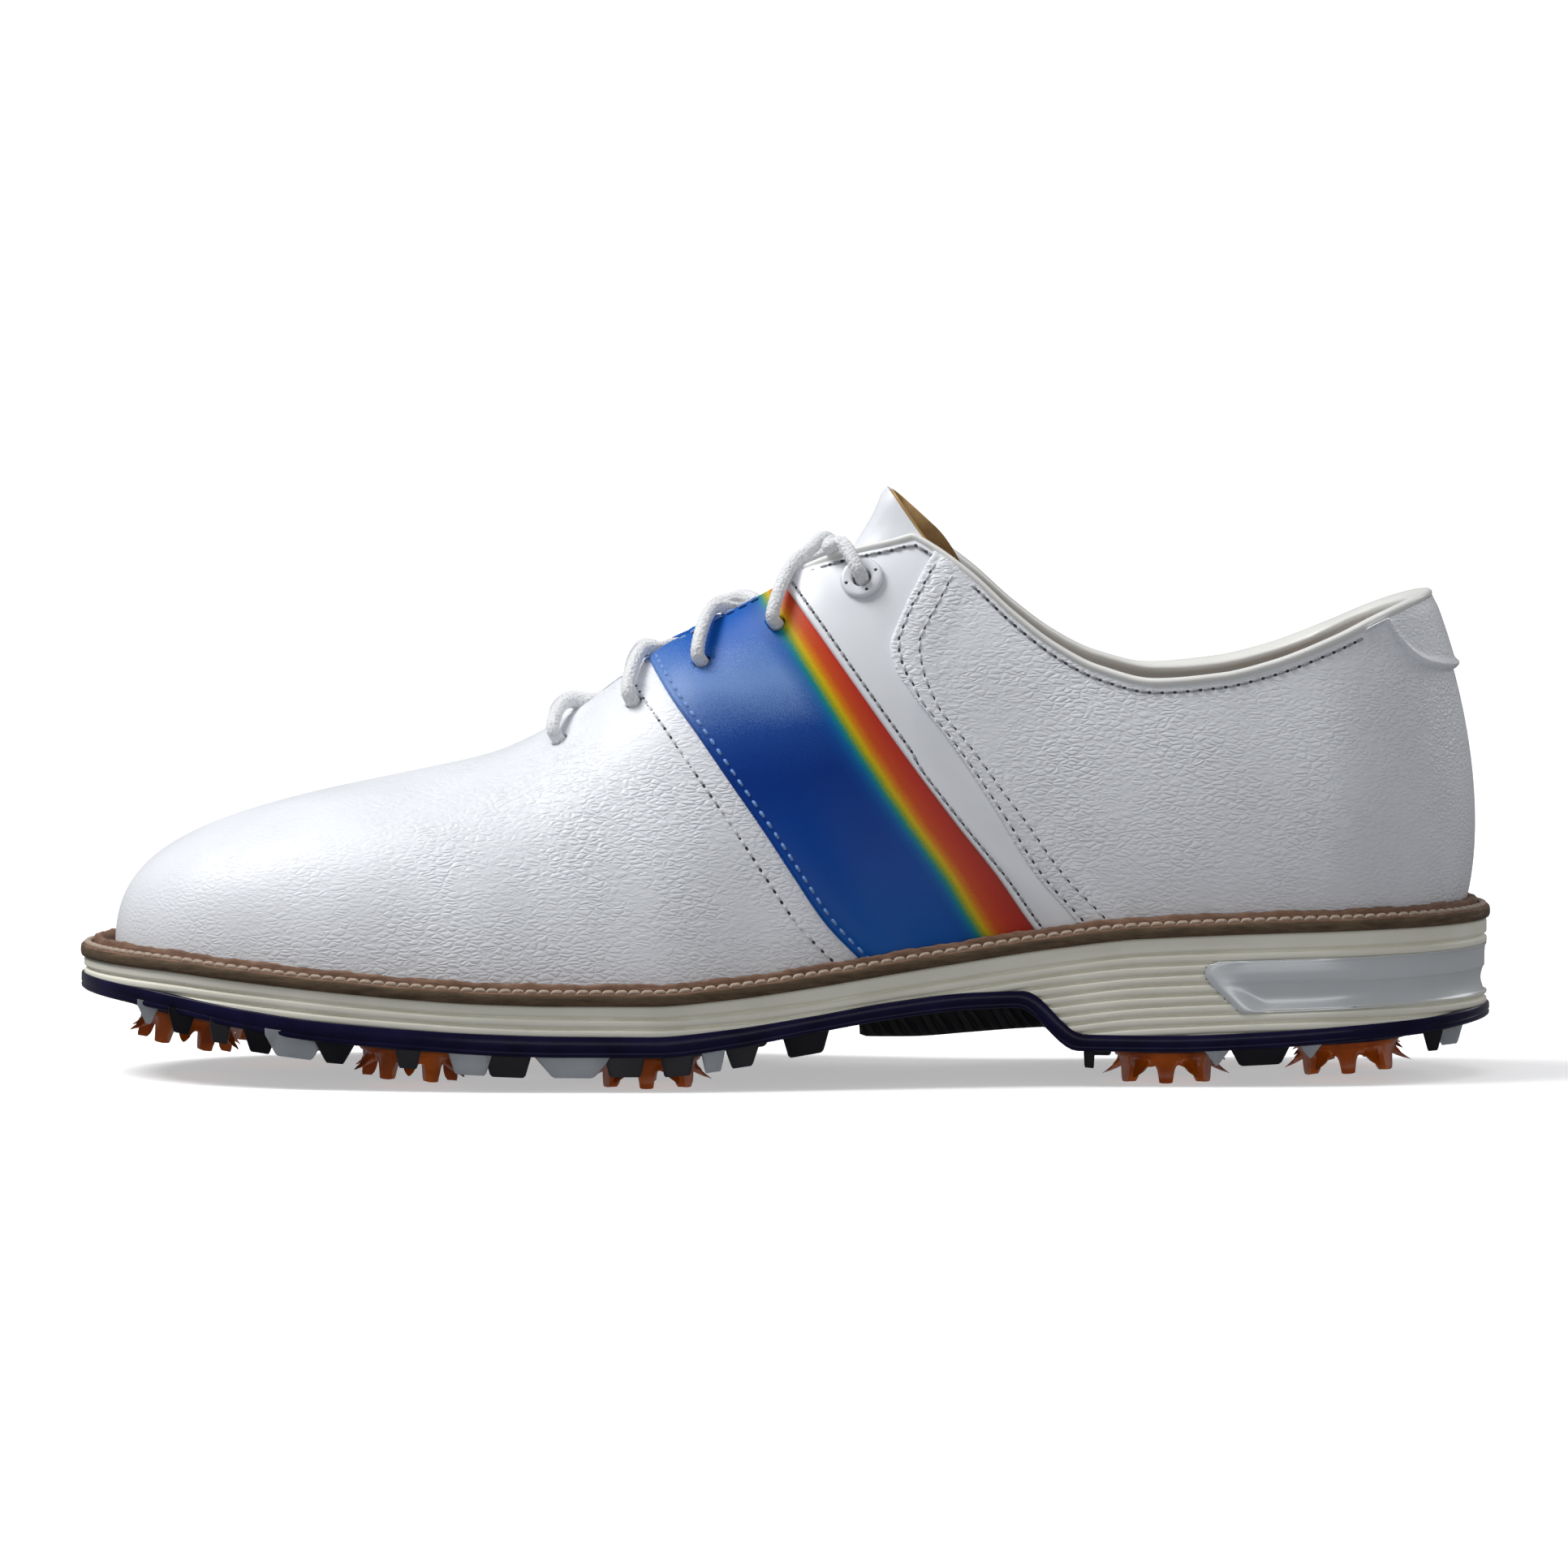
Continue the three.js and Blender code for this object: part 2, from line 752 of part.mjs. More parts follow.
// The rolled binding that caps the topline from the top of one eyestay round to the other.
function toplineBinding() {
  const columns = 30;
  const start = seamAngle(-1, through([[0, 38], [200, 38]]), 1);
  const end = seamAngle(1, through([[0, 38], [200, 38]]), 1);
  const turns = 2 * Math.PI - Math.abs(start) - end;
  const grid = (distance) =>
    [0.35, 1.9].map((rise) =>
      Array.from({ length: columns + 1 }, (_, i) => {
        const turn = end + (turns * i) / columns;
        const s = turn > Math.PI ? turn - 2 * Math.PI : turn;
        const top = topOf(s);
        const step = lastPoint(s, top + 0.01).distanceTo(lastPoint(s, top)) / 0.01;
        const x = lastPoint(s, top).x;
        return offsetPoint(s, top + rise / step, distance(x));
      }),
    );
  return between(grid(level(0.4)), grid((x) => liningBack(x) - 0.2));
}
function toePuff() {
  const columns = 14;
  const rows = 4;
  const reachX = -112;
  const grid = (distance) =>
    Array.from({ length: rows + 1 }, (_, j) =>
      Array.from({ length: columns + 1 }, (_, i) => {
        const s = mix(-angleAt(reachX), angleAt(reachX), i / columns);
        return offsetPoint(s, mix(0.03, 0.62, j / rows), distance);
      }),
    );
  return between(grid(BEHIND_LEATHER), grid(BEHIND_LEATHER - STIFFENER));
}

// ---------------------------------------------------------------- tongue
// It is laid along the last's ridge, deep enough for the laces to pass over it, and its end
// is flared out. Its side view is given along the ridge (x) and square to it (reach).
const TONGUE_DEPTH = -LEATHER - LAYER_GAP - LINING - 2 * LACE_RADIUS - 1.1;
const TONGUE_THICKNESS = 2.2;
const TONGUE_LINING = 0.8;
const TONGUE_START = -57;
const TONGUE_END = 21.6;
const tongueReach = through([[-57, 11], [-30, 17], [0, 22], [22, 26.5]]);
const tongueFlare = through([
  [-57, TONGUE_DEPTH - 1.4],
  [-25, TONGUE_DEPTH - 0.7],
  [8, TONGUE_DEPTH - 0.2],
  [15, -4.8],
  [22, 0.4],
]);
const SQUARE_TO_RIDGE = new THREE.Vector2(0.66, -0.75);
function tongueSheet(outerDistance, innerDistance, columns = 5, rows = 9) {
  const grid = (depth) =>
    Array.from({ length: rows + 1 }, (_, j) => {
      const x = mix(TONGUE_START, TONGUE_END, j / rows);
      const half = (side) =>
        Array.from({ length: columns }, (_, i) => {
          const share = (i + 1) / columns;
          const drop = SQUARE_TO_RIDGE.clone().multiplyScalar(tongueReach(x) * share ** 2);
          const seat = locate(side, x + drop.x, ridgeHeight(x) + drop.y);
          const settled = THREE.MathUtils.smoothstep(share, 0, 0.6);
          const flared = mix(tongueFlare(x), TONGUE_DEPTH - 0.8, settled);
          return offsetPoint(...seat, flared + depth);
        });
      const middle = middlePoint(x, tongueFlare(x) + depth);
      return [...half(-1).reverse(), middle, ...half(1)];
    });
  return between(grid(outerDistance), grid(innerDistance));
}
function middlePoint(x, height) {
  const p = new THREE.Vector3(x, 0, ridgeHeight(x));
  const slope = (ridgeHeight(x + 1) - ridgeHeight(x - 1)) / 2;
  const normal = new THREE.Vector3(-slope, 0, 1).normalize();
  return p.addScaledVector(normal, height);
}

// ---------------------------------------------------------------- lace and eyelets
const seats = { "-1": [], 1: [] }; // the eyelets' places on each side, from the top down
for (const side of [-1, 1]) {
  for (const [x, z] of EYELETS) seats[side].push(locate(side, x, z));
}
const atEyelet = (side, row, distance) => offsetPoint(...seats[side][row], distance);
function facing(seat, towards) {
  const normal = lastNormal(...seat);
  const matrix = new THREE.Matrix4();
  const turn = new THREE.Quaternion().setFromUnitVectors(
    new THREE.Vector3(0, 0, 1),
    normal,
  );
  const p = offsetPoint(...seat, towards);
  return matrix.compose(p, turn, new THREE.Vector3(1, 1, 1));
}
function eyeletRing() {
  const profile = [
    [2.1, 0.9],
    [2.1, -LEATHER - LINING - 0.6],
    [2.5, -LEATHER - LINING - 0.6],
    [2.5, GAP],
    [4.6, GAP],
    [4.6, 0.8],
    [4.1, 1.1],
    [2.5, 1.1],
    [2.1, 0.9],
  ];
  return facingOut(toGeometry(toManifold(lathe(profile, 14))));
}
// The lace's route. One strand of each crossing passes over the other at the middle.
const UNDER = -LEATHER - LAYER_GAP - LINING - LACE_RADIUS - 0.3;
// A point between two eyelets of one side: share 0 is the throat's edge, 1 the ridge.
function throatPoint(side, row, along, share, distance) {
  const [s0] = seats[side][row];
  const [s1] = seats[side][Math.max(row - 1, 0)];
  const s = mix(s0, s1, along);
  return offsetPoint(s, mix(topOf(s), 1, share), distance);
}
const UNDER_STRAND = TONGUE_DEPTH + LACE_RADIUS + 0.3;
const OVER_STRAND = UNDER_STRAND + 2 * LACE_RADIUS + 0.4;
// From one eyelet's outer face across the throat to under the opposite facing.
function across(side, row, height, x) {
  return [
    throatPoint(side, row, 0.2, -0.02, LACE_RADIUS + 0.9),
    throatPoint(side, row, 0.35, 0.5, mix(height, LACE_RADIUS, 0.4)),
    middlePoint(x, height),
    throatPoint(-side, row, 0.6, 0.5, mix(height, UNDER - 0.4, 0.6)),
    throatPoint(-side, row, 0.75, 0, UNDER - 0.4),
  ];
}
function crossing(side, row, height) {
  const other = -side;
  const [low, high] = [seats[side][row], seats[other][row - 1]];
  const x = (lastPoint(...low).x + lastPoint(...high).x) / 2;
  return [
    atEyelet(side, row, LACE_RADIUS + 1.2),
    ...across(side, row, height, x),
    atEyelet(other, row - 1, UNDER),
    atEyelet(other, row - 1, -LEATHER),
  ];
}
// The whole route: down one set of strands, along the bar under the lowest eyelets, and up
// the other set. Each end turns round the throat's edge and is tucked under the facing.
function laceRoute() {
  const climb = (start) => {
    const route = [];
    let from = start;
    for (let row = EYELETS.length - 1; row > 0; row--) {
      const over = from > 0 === (row % 2 === 0);
      route.push(...crossing(from, row, over ? OVER_STRAND : UNDER_STRAND));
      from = -from;
    }
    const tucked = mix(seats[from][1][0], seats[from][0][0], 0.5);
    route.push(
      atEyelet(from, 0, LACE_RADIUS + 2),
      offsetPoint(mix(seats[from][0][0], tucked, 0.35), topOf(tucked) * 0.97, 4.2),
      throatPoint(from, 1, 0.66, 0.05, LACE_RADIUS + 1.2),
      throatPoint(from, 1, 0.6, 0.4, -1.6),
      throatPoint(from, 1, 0.55, 0.1, UNDER - 0.9),
      offsetPoint(tucked, topOf(tucked) * 0.92, UNDER - 0.6),
    );
    return route;
  };
  const low = EYELETS.length - 1;
  const bar = (side) => [-LEATHER, UNDER].map((depth) => atEyelet(side, low, depth));
  const middle = middlePoint(EYELETS[low][0] + 4, UNDER_STRAND);
  return [...climb(-1).reverse(), ...bar(-1), middle, ...bar(1).reverse(), ...climb(1)];
}
function tube(points, radius, stations, sides) {
  const curve = new THREE.CatmullRomCurve3(points, false, "centripetal");
  return toGeometry(toManifold(closedTube(curve, radius, stations, sides)));
}
function closedTube(curve, radius, stations, sides) {
  const frames = curve.computeFrenetFrames(stations, false);
  const ring = (i) => {
    const centre = curve.getPointAt(i / stations);
    return Array.from({ length: sides }, (_, k) => {
      const turn = (2 * Math.PI * k) / sides;
      return centre
        .clone()
        .addScaledVector(frames.normals[i], radius * Math.cos(turn))
        .addScaledVector(frames.binormals[i], radius * Math.sin(turn));
    });
  };
  const rings = Array.from({ length: stations + 1 }, (_, i) => ring(i));
  const faces = [];
  for (let i = 0; i < stations; i++) {
    for (let k = 0; k < sides; k++) {
      const n = (k + 1) % sides;
      faces.push(...quad(rings[i][k], rings[i][n], rings[i + 1][n], rings[i + 1][k]));
    }
  }
  for (let k = 1; k + 1 < sides; k++) {
    const [first, last] = [rings[0], rings[stations]];
    faces.push([first[0], first[k + 1], first[k]], [last[0], last[k], last[k + 1]]);
  }
  return facingOut(geometryOf(faces));
}
// Pins that punch the eyelet holes: the top ones take the rings.
function eyeletHoles() {
  const pins = [];
  for (const side of [-1, 1]) {
    seats[side].forEach((seat, row) => {
      const radius = row === 0 ? 2.5 + GAP : LACE_RADIUS + 0.6;
      pins.push(placed(cylinder(radius, -6, 3, 8), facing(seat, 0)));
    });
  }
  return pins;
}

// ---------------------------------------------------------------- sole
const sole = (rings) => stack(rings.map(([inset, height]) => soleRing(inset, height)));
const raised = (height, by) => (x) => height(x) + by;
// The cleat's own frame: its seat on the outsole's underside, with +Z up into the sole.
// Where the sole is level the cleat's feet stand on the ground.
const LEVEL_SLOPE = 0.03;
function cleatFrame([, x, y]) {
  const slope = (outsoleBottom(x + 8) - outsoleBottom(x - 8)) / 16;
  const level = Math.abs(slope) < LEVEL_SLOPE;
  const under = [-12, -6, 0, 6, 12].map((step) => outsoleBottom(x + step) - slope * step);
  const seat = level ? CLEAT_HEIGHT : Math.min(...under) - GAP;
  const lift = new THREE.Matrix4().makeTranslation(x, y - sideShift, seat);
  return lift.multiply(new THREE.Matrix4().makeRotationY(level ? 0 : -Math.atan(slope)));
}
function prism(radius, angle, { width, depth, foot, low, out }) {
  const corners = [];
  for (const [z, r, scale] of [[-0.9, radius, 1], [low, radius + out, foot]]) {
    for (const [a, b] of [[-1, -1], [1, -1], [1, 1], [-1, 1]]) {
      const p = new THREE.Vector3(r + (a * depth * scale) / 2, (b * width * scale) / 2, z);
      corners.push(p.applyAxisAngle(new THREE.Vector3(0, 0, 1), angle));
    }
  }
  const [a, b, c, d, e, f, g, h] = corners;
  const faces = [quad(a, d, c, b), quad(e, f, g, h), quad(a, b, f, e), quad(b, c, g, f)];
  faces.push(quad(c, d, h, g), quad(d, a, e, h));
  return facingOut(geometryOf(faces.flat()));
}
// Six blunt stubs carry the load and six flared claws between them grip the turf.
const STUB = { width: 3.4, depth: 3, foot: 0.85, low: -CLEAT_HEIGHT, out: 0.6 };
const CLAW = { width: 3.2, depth: 2.6, foot: 0.3, low: -CLEAT_HEIGHT + 0.9, out: 3.6 };
function cleat(turn) {
  const parts = [cylinder(CROWN_RADIUS, -CROWN_THICKNESS, 0, 18)];
  parts.push(cylinder(POST_RADIUS, -0.5, POST_LENGTH, POST_SIDES));
  for (let i = 0; i < 6; i++) {
    parts.push(prism(8.6, turn + (i * Math.PI) / 3, STUB));
    parts.push(prism(9.6, turn + ((i + 0.5) * Math.PI) / 3, CLAW));
  }
  return combine(parts);
}
function socket() {
  const body = cylinder(SOCKET_RADIUS, 0.1, SOCKET_LENGTH, 12);
  return cut(body, [cylinder(POST_RADIUS + GAP, -1, POST_LENGTH + GAP, POST_SIDES)]);
}
const socketHoles = () =>
  CLEATS.map((row) => placed(cylinder(SOCKET_RADIUS + GAP, -3, SOCKET_LENGTH + GAP, 12), cleatFrame(row)));
const lugShape = (row) => {
  const [x, y, length, width, depth] = row;
  const lug = prism(0, 0, { width, depth: length, foot: 0.62, low: -depth - 0.9, out: 0 });
  return lug.translate(x, y - sideShift, outsoleBottom(x) + 0.9);
};
const outsole = () =>
  cut(
    combine([
      sole([
        [1.6, outsoleBottom],
        [0.2, raised(outsoleBottom, 1.1)],
        [0, outsoleTop],
      ]),
      ...LUGS.map(lugShape),
    ]),
    socketHoles(),
  );
const POCKET_INSET = 13;
const POCKET_DEPTH = 2.4;
const pocket = () =>
  stack([
    soleRing(POCKET_INSET, raised(midsoleTop, -POCKET_DEPTH), -132, 126),
    soleRing(POCKET_INSET, raised(midsoleTop, 3), -132, 126),
  ]);
const INSERT_FRONT = 89.7;
const insertLow = through([[80, 15.2], [152, 17.4]]);
const insertHigh = through([[80, 26.6], [152, 28.2]]);
// A band round the back of the heel with a section of [inset, share of the height].
function heelBand(profile, fromX, low, high, steps = 22) {
  const start = angleAt(fromX);
  const ring = (i) => {
    const turn = mix(start, 2 * Math.PI - start, i / steps);
    const s = turn > Math.PI ? turn - 2 * Math.PI : turn;
    return profile.map(([inset, share]) => {
      const p = insetEdge(s, inset);
      return new THREE.Vector3(p.x, p.y, mix(low(p.x), high(p.x), share));
    });
  };
  const rings = Array.from({ length: steps + 1 }, (_, i) => ring(i));
  const faces = [];
  for (let i = 0; i < steps; i++) {
    for (let k = 0; k < profile.length; k++) {
      const n = (k + 1) % profile.length;
      faces.push(...quad(rings[i][k], rings[i][n], rings[i + 1][n], rings[i + 1][k]));
    }
  }
  for (let k = 1; k + 1 < profile.length; k++) {
    const [first, last] = [rings[0], rings[steps]];
    faces.push([first[0], first[k + 1], first[k]], [last[0], last[k], last[k + 1]]);
  }
  return facingOut(geometryOf(faces));
}
const INSERT_SECTION = [[4.6, 0], [4.6, 1], [0.5, 1], [1.9, 0.5], [0.5, 0]];
const heelInsert = () => heelBand(INSERT_SECTION, INSERT_FRONT, insertLow, insertHigh);
const insertRecess = () =>
  heelBand(
    [[5, 0], [5, 1], [-2, 1], [-2, 0]],
    INSERT_FRONT - 0.6,
    raised(insertLow, -0.35),
    raised(insertHigh, 0.35),
  );
const midsole = () =>
  cut(
    sole([
      [0.6, raised(outsoleTop, GAP)],
      [0.9, (x) => mix(outsoleTop(x), midsoleTop(x), 0.5)],
      [0.6, raised(midsoleTop, -GAP)],
    ]),
    [pocket(), insertRecess(), ...socketHoles()],
  );
// The welt with its storm rim along the inner edge.
const WELT_SECTION = [
  [0, 0],
  [0, 2.2],
  [0.5, WELT_THICKNESS],
  [3.3, WELT_THICKNESS],
  [3.5, 3.9],
  [4.5, 3.9],
  [4.8, 0],
];
const welt = () => band(WELT_SECTION, midsoleTop);
const weltStitching = () =>
  band([[1.4, 2.9], [2.1, 3.5], [2.9, 2.9]], midsoleTop);
function archPlate() {
  const low = through([[18, 13], [25, 11.4], [38, 10.6], [48, 10.4], [54, 11.4]]);
  const ring = (inset, height) => soleRing(inset, height, 18.5, 48.5, 6);
  return stack([
    ring(7.5, low),
    ring(6, raised(low, 1)),
    ring(6, raised(outsoleBottom, -2 * GAP)),
  ]);
}
const insoleBoard = () =>
  sole([
    [13, raised(midsoleTop, GAP)],
    [13, raised(midsoleTop, 2.2)],
  ]);
const footbed = () =>
  sole([
    [13, raised(midsoleTop, 2.5)],
    [13, raised(midsoleTop, 4.5)],
    [14.4, raised(midsoleTop, 6.5)],
  ]);
const corkFiller = () =>
  stack([
    soleRing(POCKET_INSET + 2 * GAP, raised(midsoleTop, -POCKET_DEPTH + GAP), -131, -14),
    soleRing(POCKET_INSET + 2 * GAP, raised(midsoleTop, 0), -131, -14),
  ]);
function shank() {
  const bar = (inset, rise) =>
    Array.from({ length: 14 }, (_, i) => {
      const outer = i < 7;
      const x = mix(-8, 92, outer ? i / 6 : (13 - i) / 6);
      const y = (outer ? -1 : 1) * (7 - inset);
      return new THREE.Vector3(x, y - sideShift - 3, midsoleTop(x) + rise);
    });
  return stack([bar(0, -1.6), bar(0, -0.3)]);
}

// ---------------------------------------------------------------- assembly
const shoe = new THREE.Group();
const MATERIALS = {
  leather: { color: 0xf1f2f4, roughness: 0.5, metalness: 0 },
  blue: { color: 0x0b4fa0, roughness: 0.35, metalness: 0 },
  tan: { color: 0xb88a4a, roughness: 0.8, metalness: 0 },
  welt: { color: 0x6b4e36, roughness: 0.8, metalness: 0 },
  cream: { color: 0xe4e0d2, roughness: 0.7, metalness: 0 },
  silver: { color: 0xb9bfc4, roughness: 0.35, metalness: 0.2 },
  navy: { color: 0x1b1740, roughness: 0.3, metalness: 0 },
  black: { color: 0x222226, roughness: 0.5, metalness: 0 },
  clear: { color: 0xc3cdd6, roughness: 0.25, metalness: 0 },
  orange: { color: 0xb8480a, roughness: 0.25, metalness: 0 },
  cord: { color: 0xf5f5f5, roughness: 0.8, metalness: 0 },
  steel: { color: 0xa5a8aa, roughness: 0.4, metalness: 1 },
  cork: { color: 0xb28a5e, roughness: 0.95, metalness: 0 },
  foam: { color: 0x3c4046, roughness: 0.95, metalness: 0 },
};
function add(name, geometry, material) {
  const mesh = new THREE.Mesh(geometry, new THREE.MeshStandardMaterial(MATERIALS[material]));
  mesh.name = name;
  shoe.add(mesh);
  return mesh;
}

const SIDES = [
  ["outer", -1],
  ["inner", 1],
];
const holes = eyeletHoles();
add("vamp", cut(frontPanel(13, PANEL_ROWS, GAP / 2, level(0), level(-LEATHER)), holes), "leather");
add("vamp_lining", cut(frontPanel(13, PANEL_ROWS, GAP, liningFace, liningBack), holes), "tan");
add("rear_lining", cut(rearLining(), holes), "tan");
add("toe_puff", toePuff(), "foam");
add("heel_counter", heelCounter(), "foam");
add("heel_tab", heelTab(), "leather");
add("topline_binding", toplineBinding(), "leather");
for (const [name, side] of SIDES) {
  const { saddleFront, saddleRear, quarterFront } = seams;
  add("saddle_" + name, cut(sidePanel(side, saddleFront, saddleRear, 4, PANEL_ROWS), holes), "blue");
  add(
    "eyestay_" + name,
    cut(sidePanel(side, saddleRear, quarterFront, 4, PANEL_ROWS), holes),
    "leather",
  );
  add("quarter_" + name, quarter(side), "leather");
  add("eyelet_ring_" + name, placed(eyeletRing(), facing(seats[side][0], 0)), "leather");
}
add("tongue", tongueSheet(0, -TONGUE_THICKNESS), "leather");
const tongueBack = -TONGUE_THICKNESS - GAP;
add("tongue_lining", tongueSheet(tongueBack, tongueBack - TONGUE_LINING), "tan");
add("lace", tube(laceRoute(), LACE_RADIUS, 180, 5), "cord");
add("footbed", footbed(), "foam");
add("insole_board", insoleBoard(), "tan");
add("cork_filler", corkFiller(), "cork");
add("shank", shank(), "steel");
add("welt", welt(), "welt");
add("welt_stitching", weltStitching(), "tan");
add("midsole", midsole(), "cream");
add("heel_insert", heelInsert(), "silver");
add("outsole", outsole(), "navy");
add("arch_plate", archPlate(), "black");
CLEATS.forEach((row, i) => {
  const frame = cleatFrame(row);
  add("socket_" + row[0], placed(socket(), frame), "black");
  add("cleat_" + row[0], placed(cleat((i % 2) * 0.5), frame), "orange");
});

// The origin is under the middle of the whole shoe, on the ground that its cleats stand on.
const extent = new THREE.Box3().setFromObject(shoe);
const middle = extent.getCenter(new THREE.Vector3());
for (const mesh of shoe.children) mesh.geometry.translate(-middle.x, -middle.y, -extent.min.z);

export default shoe;
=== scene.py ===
"""A left golf shoe: white pebbled leather, a blue saddle with a rainbow edge, a storm welt,
a grooved midsole and screw-in cleats. Shapes are worked out in millimetres in the frame of
the CAD model: +X from toe to heel, -Y the outer side, +Z up, z = 0 the ground."""

import math

import bmesh
import bpy
import numpy as np
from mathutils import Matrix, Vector


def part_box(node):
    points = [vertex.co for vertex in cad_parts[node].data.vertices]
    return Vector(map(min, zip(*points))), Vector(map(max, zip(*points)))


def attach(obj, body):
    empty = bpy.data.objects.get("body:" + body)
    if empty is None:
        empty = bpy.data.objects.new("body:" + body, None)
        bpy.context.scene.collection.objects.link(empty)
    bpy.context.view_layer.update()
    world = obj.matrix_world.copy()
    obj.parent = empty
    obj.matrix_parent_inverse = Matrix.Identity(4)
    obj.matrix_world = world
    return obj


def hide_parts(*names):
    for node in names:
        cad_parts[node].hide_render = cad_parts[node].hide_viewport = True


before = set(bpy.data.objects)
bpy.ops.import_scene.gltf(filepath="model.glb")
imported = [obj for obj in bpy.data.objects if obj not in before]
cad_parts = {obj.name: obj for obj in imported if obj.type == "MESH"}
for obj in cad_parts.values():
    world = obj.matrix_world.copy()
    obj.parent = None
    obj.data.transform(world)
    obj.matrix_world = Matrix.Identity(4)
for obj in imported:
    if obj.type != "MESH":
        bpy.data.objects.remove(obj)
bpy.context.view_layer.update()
MM = 0.001

# ------------------------------------------------------------------ camera
VIEW_ELEVATION = math.radians(4)
VIEW_DISTANCE = 4.0
VIEW_WIDTH = 0.3383
VIEW_TARGET = (-0.0003, 0.0, 0.0622)
SENSOR = 36.0


def make_camera():
    data = bpy.data.cameras.new("camera")
    data.sensor_width = SENSOR
    data.lens = SENSOR * VIEW_DISTANCE / VIEW_WIDTH
    data.clip_end = 30
    camera = bpy.data.objects.new("camera", data)
    bpy.context.scene.collection.objects.link(camera)
    x, _, z = VIEW_TARGET
    back = VIEW_DISTANCE * math.cos(VIEW_ELEVATION)
    camera.location = (x, -back, z + VIEW_DISTANCE * math.sin(VIEW_ELEVATION))
    camera.rotation_euler = (math.pi / 2 - VIEW_ELEVATION, 0, 0)
    bpy.context.scene.camera = camera


make_camera()

# ------------------------------------------------------------------ dimensions, in mm
HALF_LENGTH = 152.0
LEATHER = 1.4
LINING = 1.0
STIFFENER = 0.9
LAYER_GAP = 0.8
LACE_RADIUS = 1.5
CLEAT_HEIGHT = 7.3
SOLE_WIDTHS = [
    (-146, 21.5, 21), (-135, 34, 33.5), (-115, 44.5, 44.5), (-90, 51, 51), (-60, 54, 54.5),
    (-30, 50.5, 54.5), (0, 41, 49.5), (30, 34, 43), (60, 33.5, 39.5), (90, 37, 40),
    (115, 37, 38.5), (135, 29.5, 30.5), (146, 19, 19.5),
]
OUTSOLE_BOTTOM = [
    (-152, 18.6), (-134, 16.2), (-117, 13), (-99, 10.5), (-80, 9.1), (-64, 8.1), (-47, 7.6),
    (-27, 7.6), (-12, 9.2), (6, 12.3), (23, 15), (40, 16.8), (49.6, 17.1), (62.5, 7.8),
    (82, 7.6), (102, 8.3), (121, 9.6), (137, 10.7), (152, 12.6),
]
OUTSOLE_TOP = [
    (-152, 21.5), (-134, 19.4), (-117, 16.6), (-99, 14.2), (-80, 12.8), (-64, 12),
    (-47, 11.5), (-29, 11.4), (-12, 12.8), (6, 15.4), (23, 18.1), (40, 19.9), (51.1, 20.1),
    (63.7, 10.8), (82, 10.5), (102, 11.2), (121, 12.4), (137, 13.4), (152, 15),
]
MIDSOLE_TOP = [
    (-152, 25.4), (-134, 24.5), (-117, 22.9), (-99, 21.2), (-80, 19.7), (-64, 18.8),
    (-47, 18.4), (-29, 18.4), (-12, 19.6), (6, 21.9), (23, 24.5), (40, 27.1), (58, 29.7),
    (76, 31.7), (110, 33), (152, 33.7),
]
FEATHER_INSET = [(-152, 7.5), (-100, 7), (0, 6.4), (152, 5.9)]
TOE_CENTRE = -90
HEEL_CENTRE = 105
RIDGE_HEIGHT = [
    (-100, 61), (-80, 65.2), (-64, 68.8), (-54, 73), (-45, 79), (-35, 87), (-20, 97.8),
    (-5, 108), (5, 115.5), (20, 126), (40, 138), (70, 146), (110, 150),
]
SECTION = [
    (-95, 1.03, 0.6, 0.72, 1), (-60, 1.03, 0.5, 0.68, 1), (-20, 1.02, 0.38, 0.58, 1),
    (20, 1.08, 0.3, 0.62, 0.98), (70, 1.2, 0.27, 0.78, 0.84), (110, 1.24, 0.25, 0.84, 0.8),
]
SADDLE_FRONT = [
    (18, 26), (28, 15.2), (35, 8.6), (45, 1.8), (55, -4.8), (66, -12.6), (75, -19),
    (83, -25), (89, -28.9), (96, -33),
]
SADDLE_REAR = [
    (18, 66), (34, 52.8), (45, 45.2), (55, 37.3), (69, 26.7), (83, 16.6), (96, 7.2),
    (107, -1), (118, -8),
]
QUARTER_FRONT = [
    (20, 73), (35, 62), (45, 53.3), (61, 43.4), (75, 33.8), (84, 26.6), (89, 23.4),
    (94, 22.4), (98, 23.8), (105, 27), (114, 32), (122, 37),
]
THROAT_GAP = [
    (-53, 0), (-50, 3.5), (-44, 5.5), (-30, 8), (0, 12), (30, 17), (45, 12), (58, 0),
    (152, 0),
]
TOPLINE = [
    (-20, 130), (-6, 112), (3, 112), (9, 115), (15, 118), (20, 118.8), (25, 117.4),
    (32, 113.8), (40, 108), (49, 99.8), (58, 93), (67, 88.4), (79, 85.6), (93, 86.7),
    (104, 89.2), (118, 94.4), (128, 98.9), (138, 102.6), (150, 106),
]
THROAT_START = -53
HEEL_TAB_EDGE = [
    (124, 103.5), (128.6, 98.2), (131, 94.4), (133.8, 91), (137.3, 88.6), (143.7, 87.2), (152, 87),
]
EYELETS = [(16.5, 107.6), (-1.9, 98.2), (-17.9, 90), (-32.6, 81.4), (-48.6, 73)]


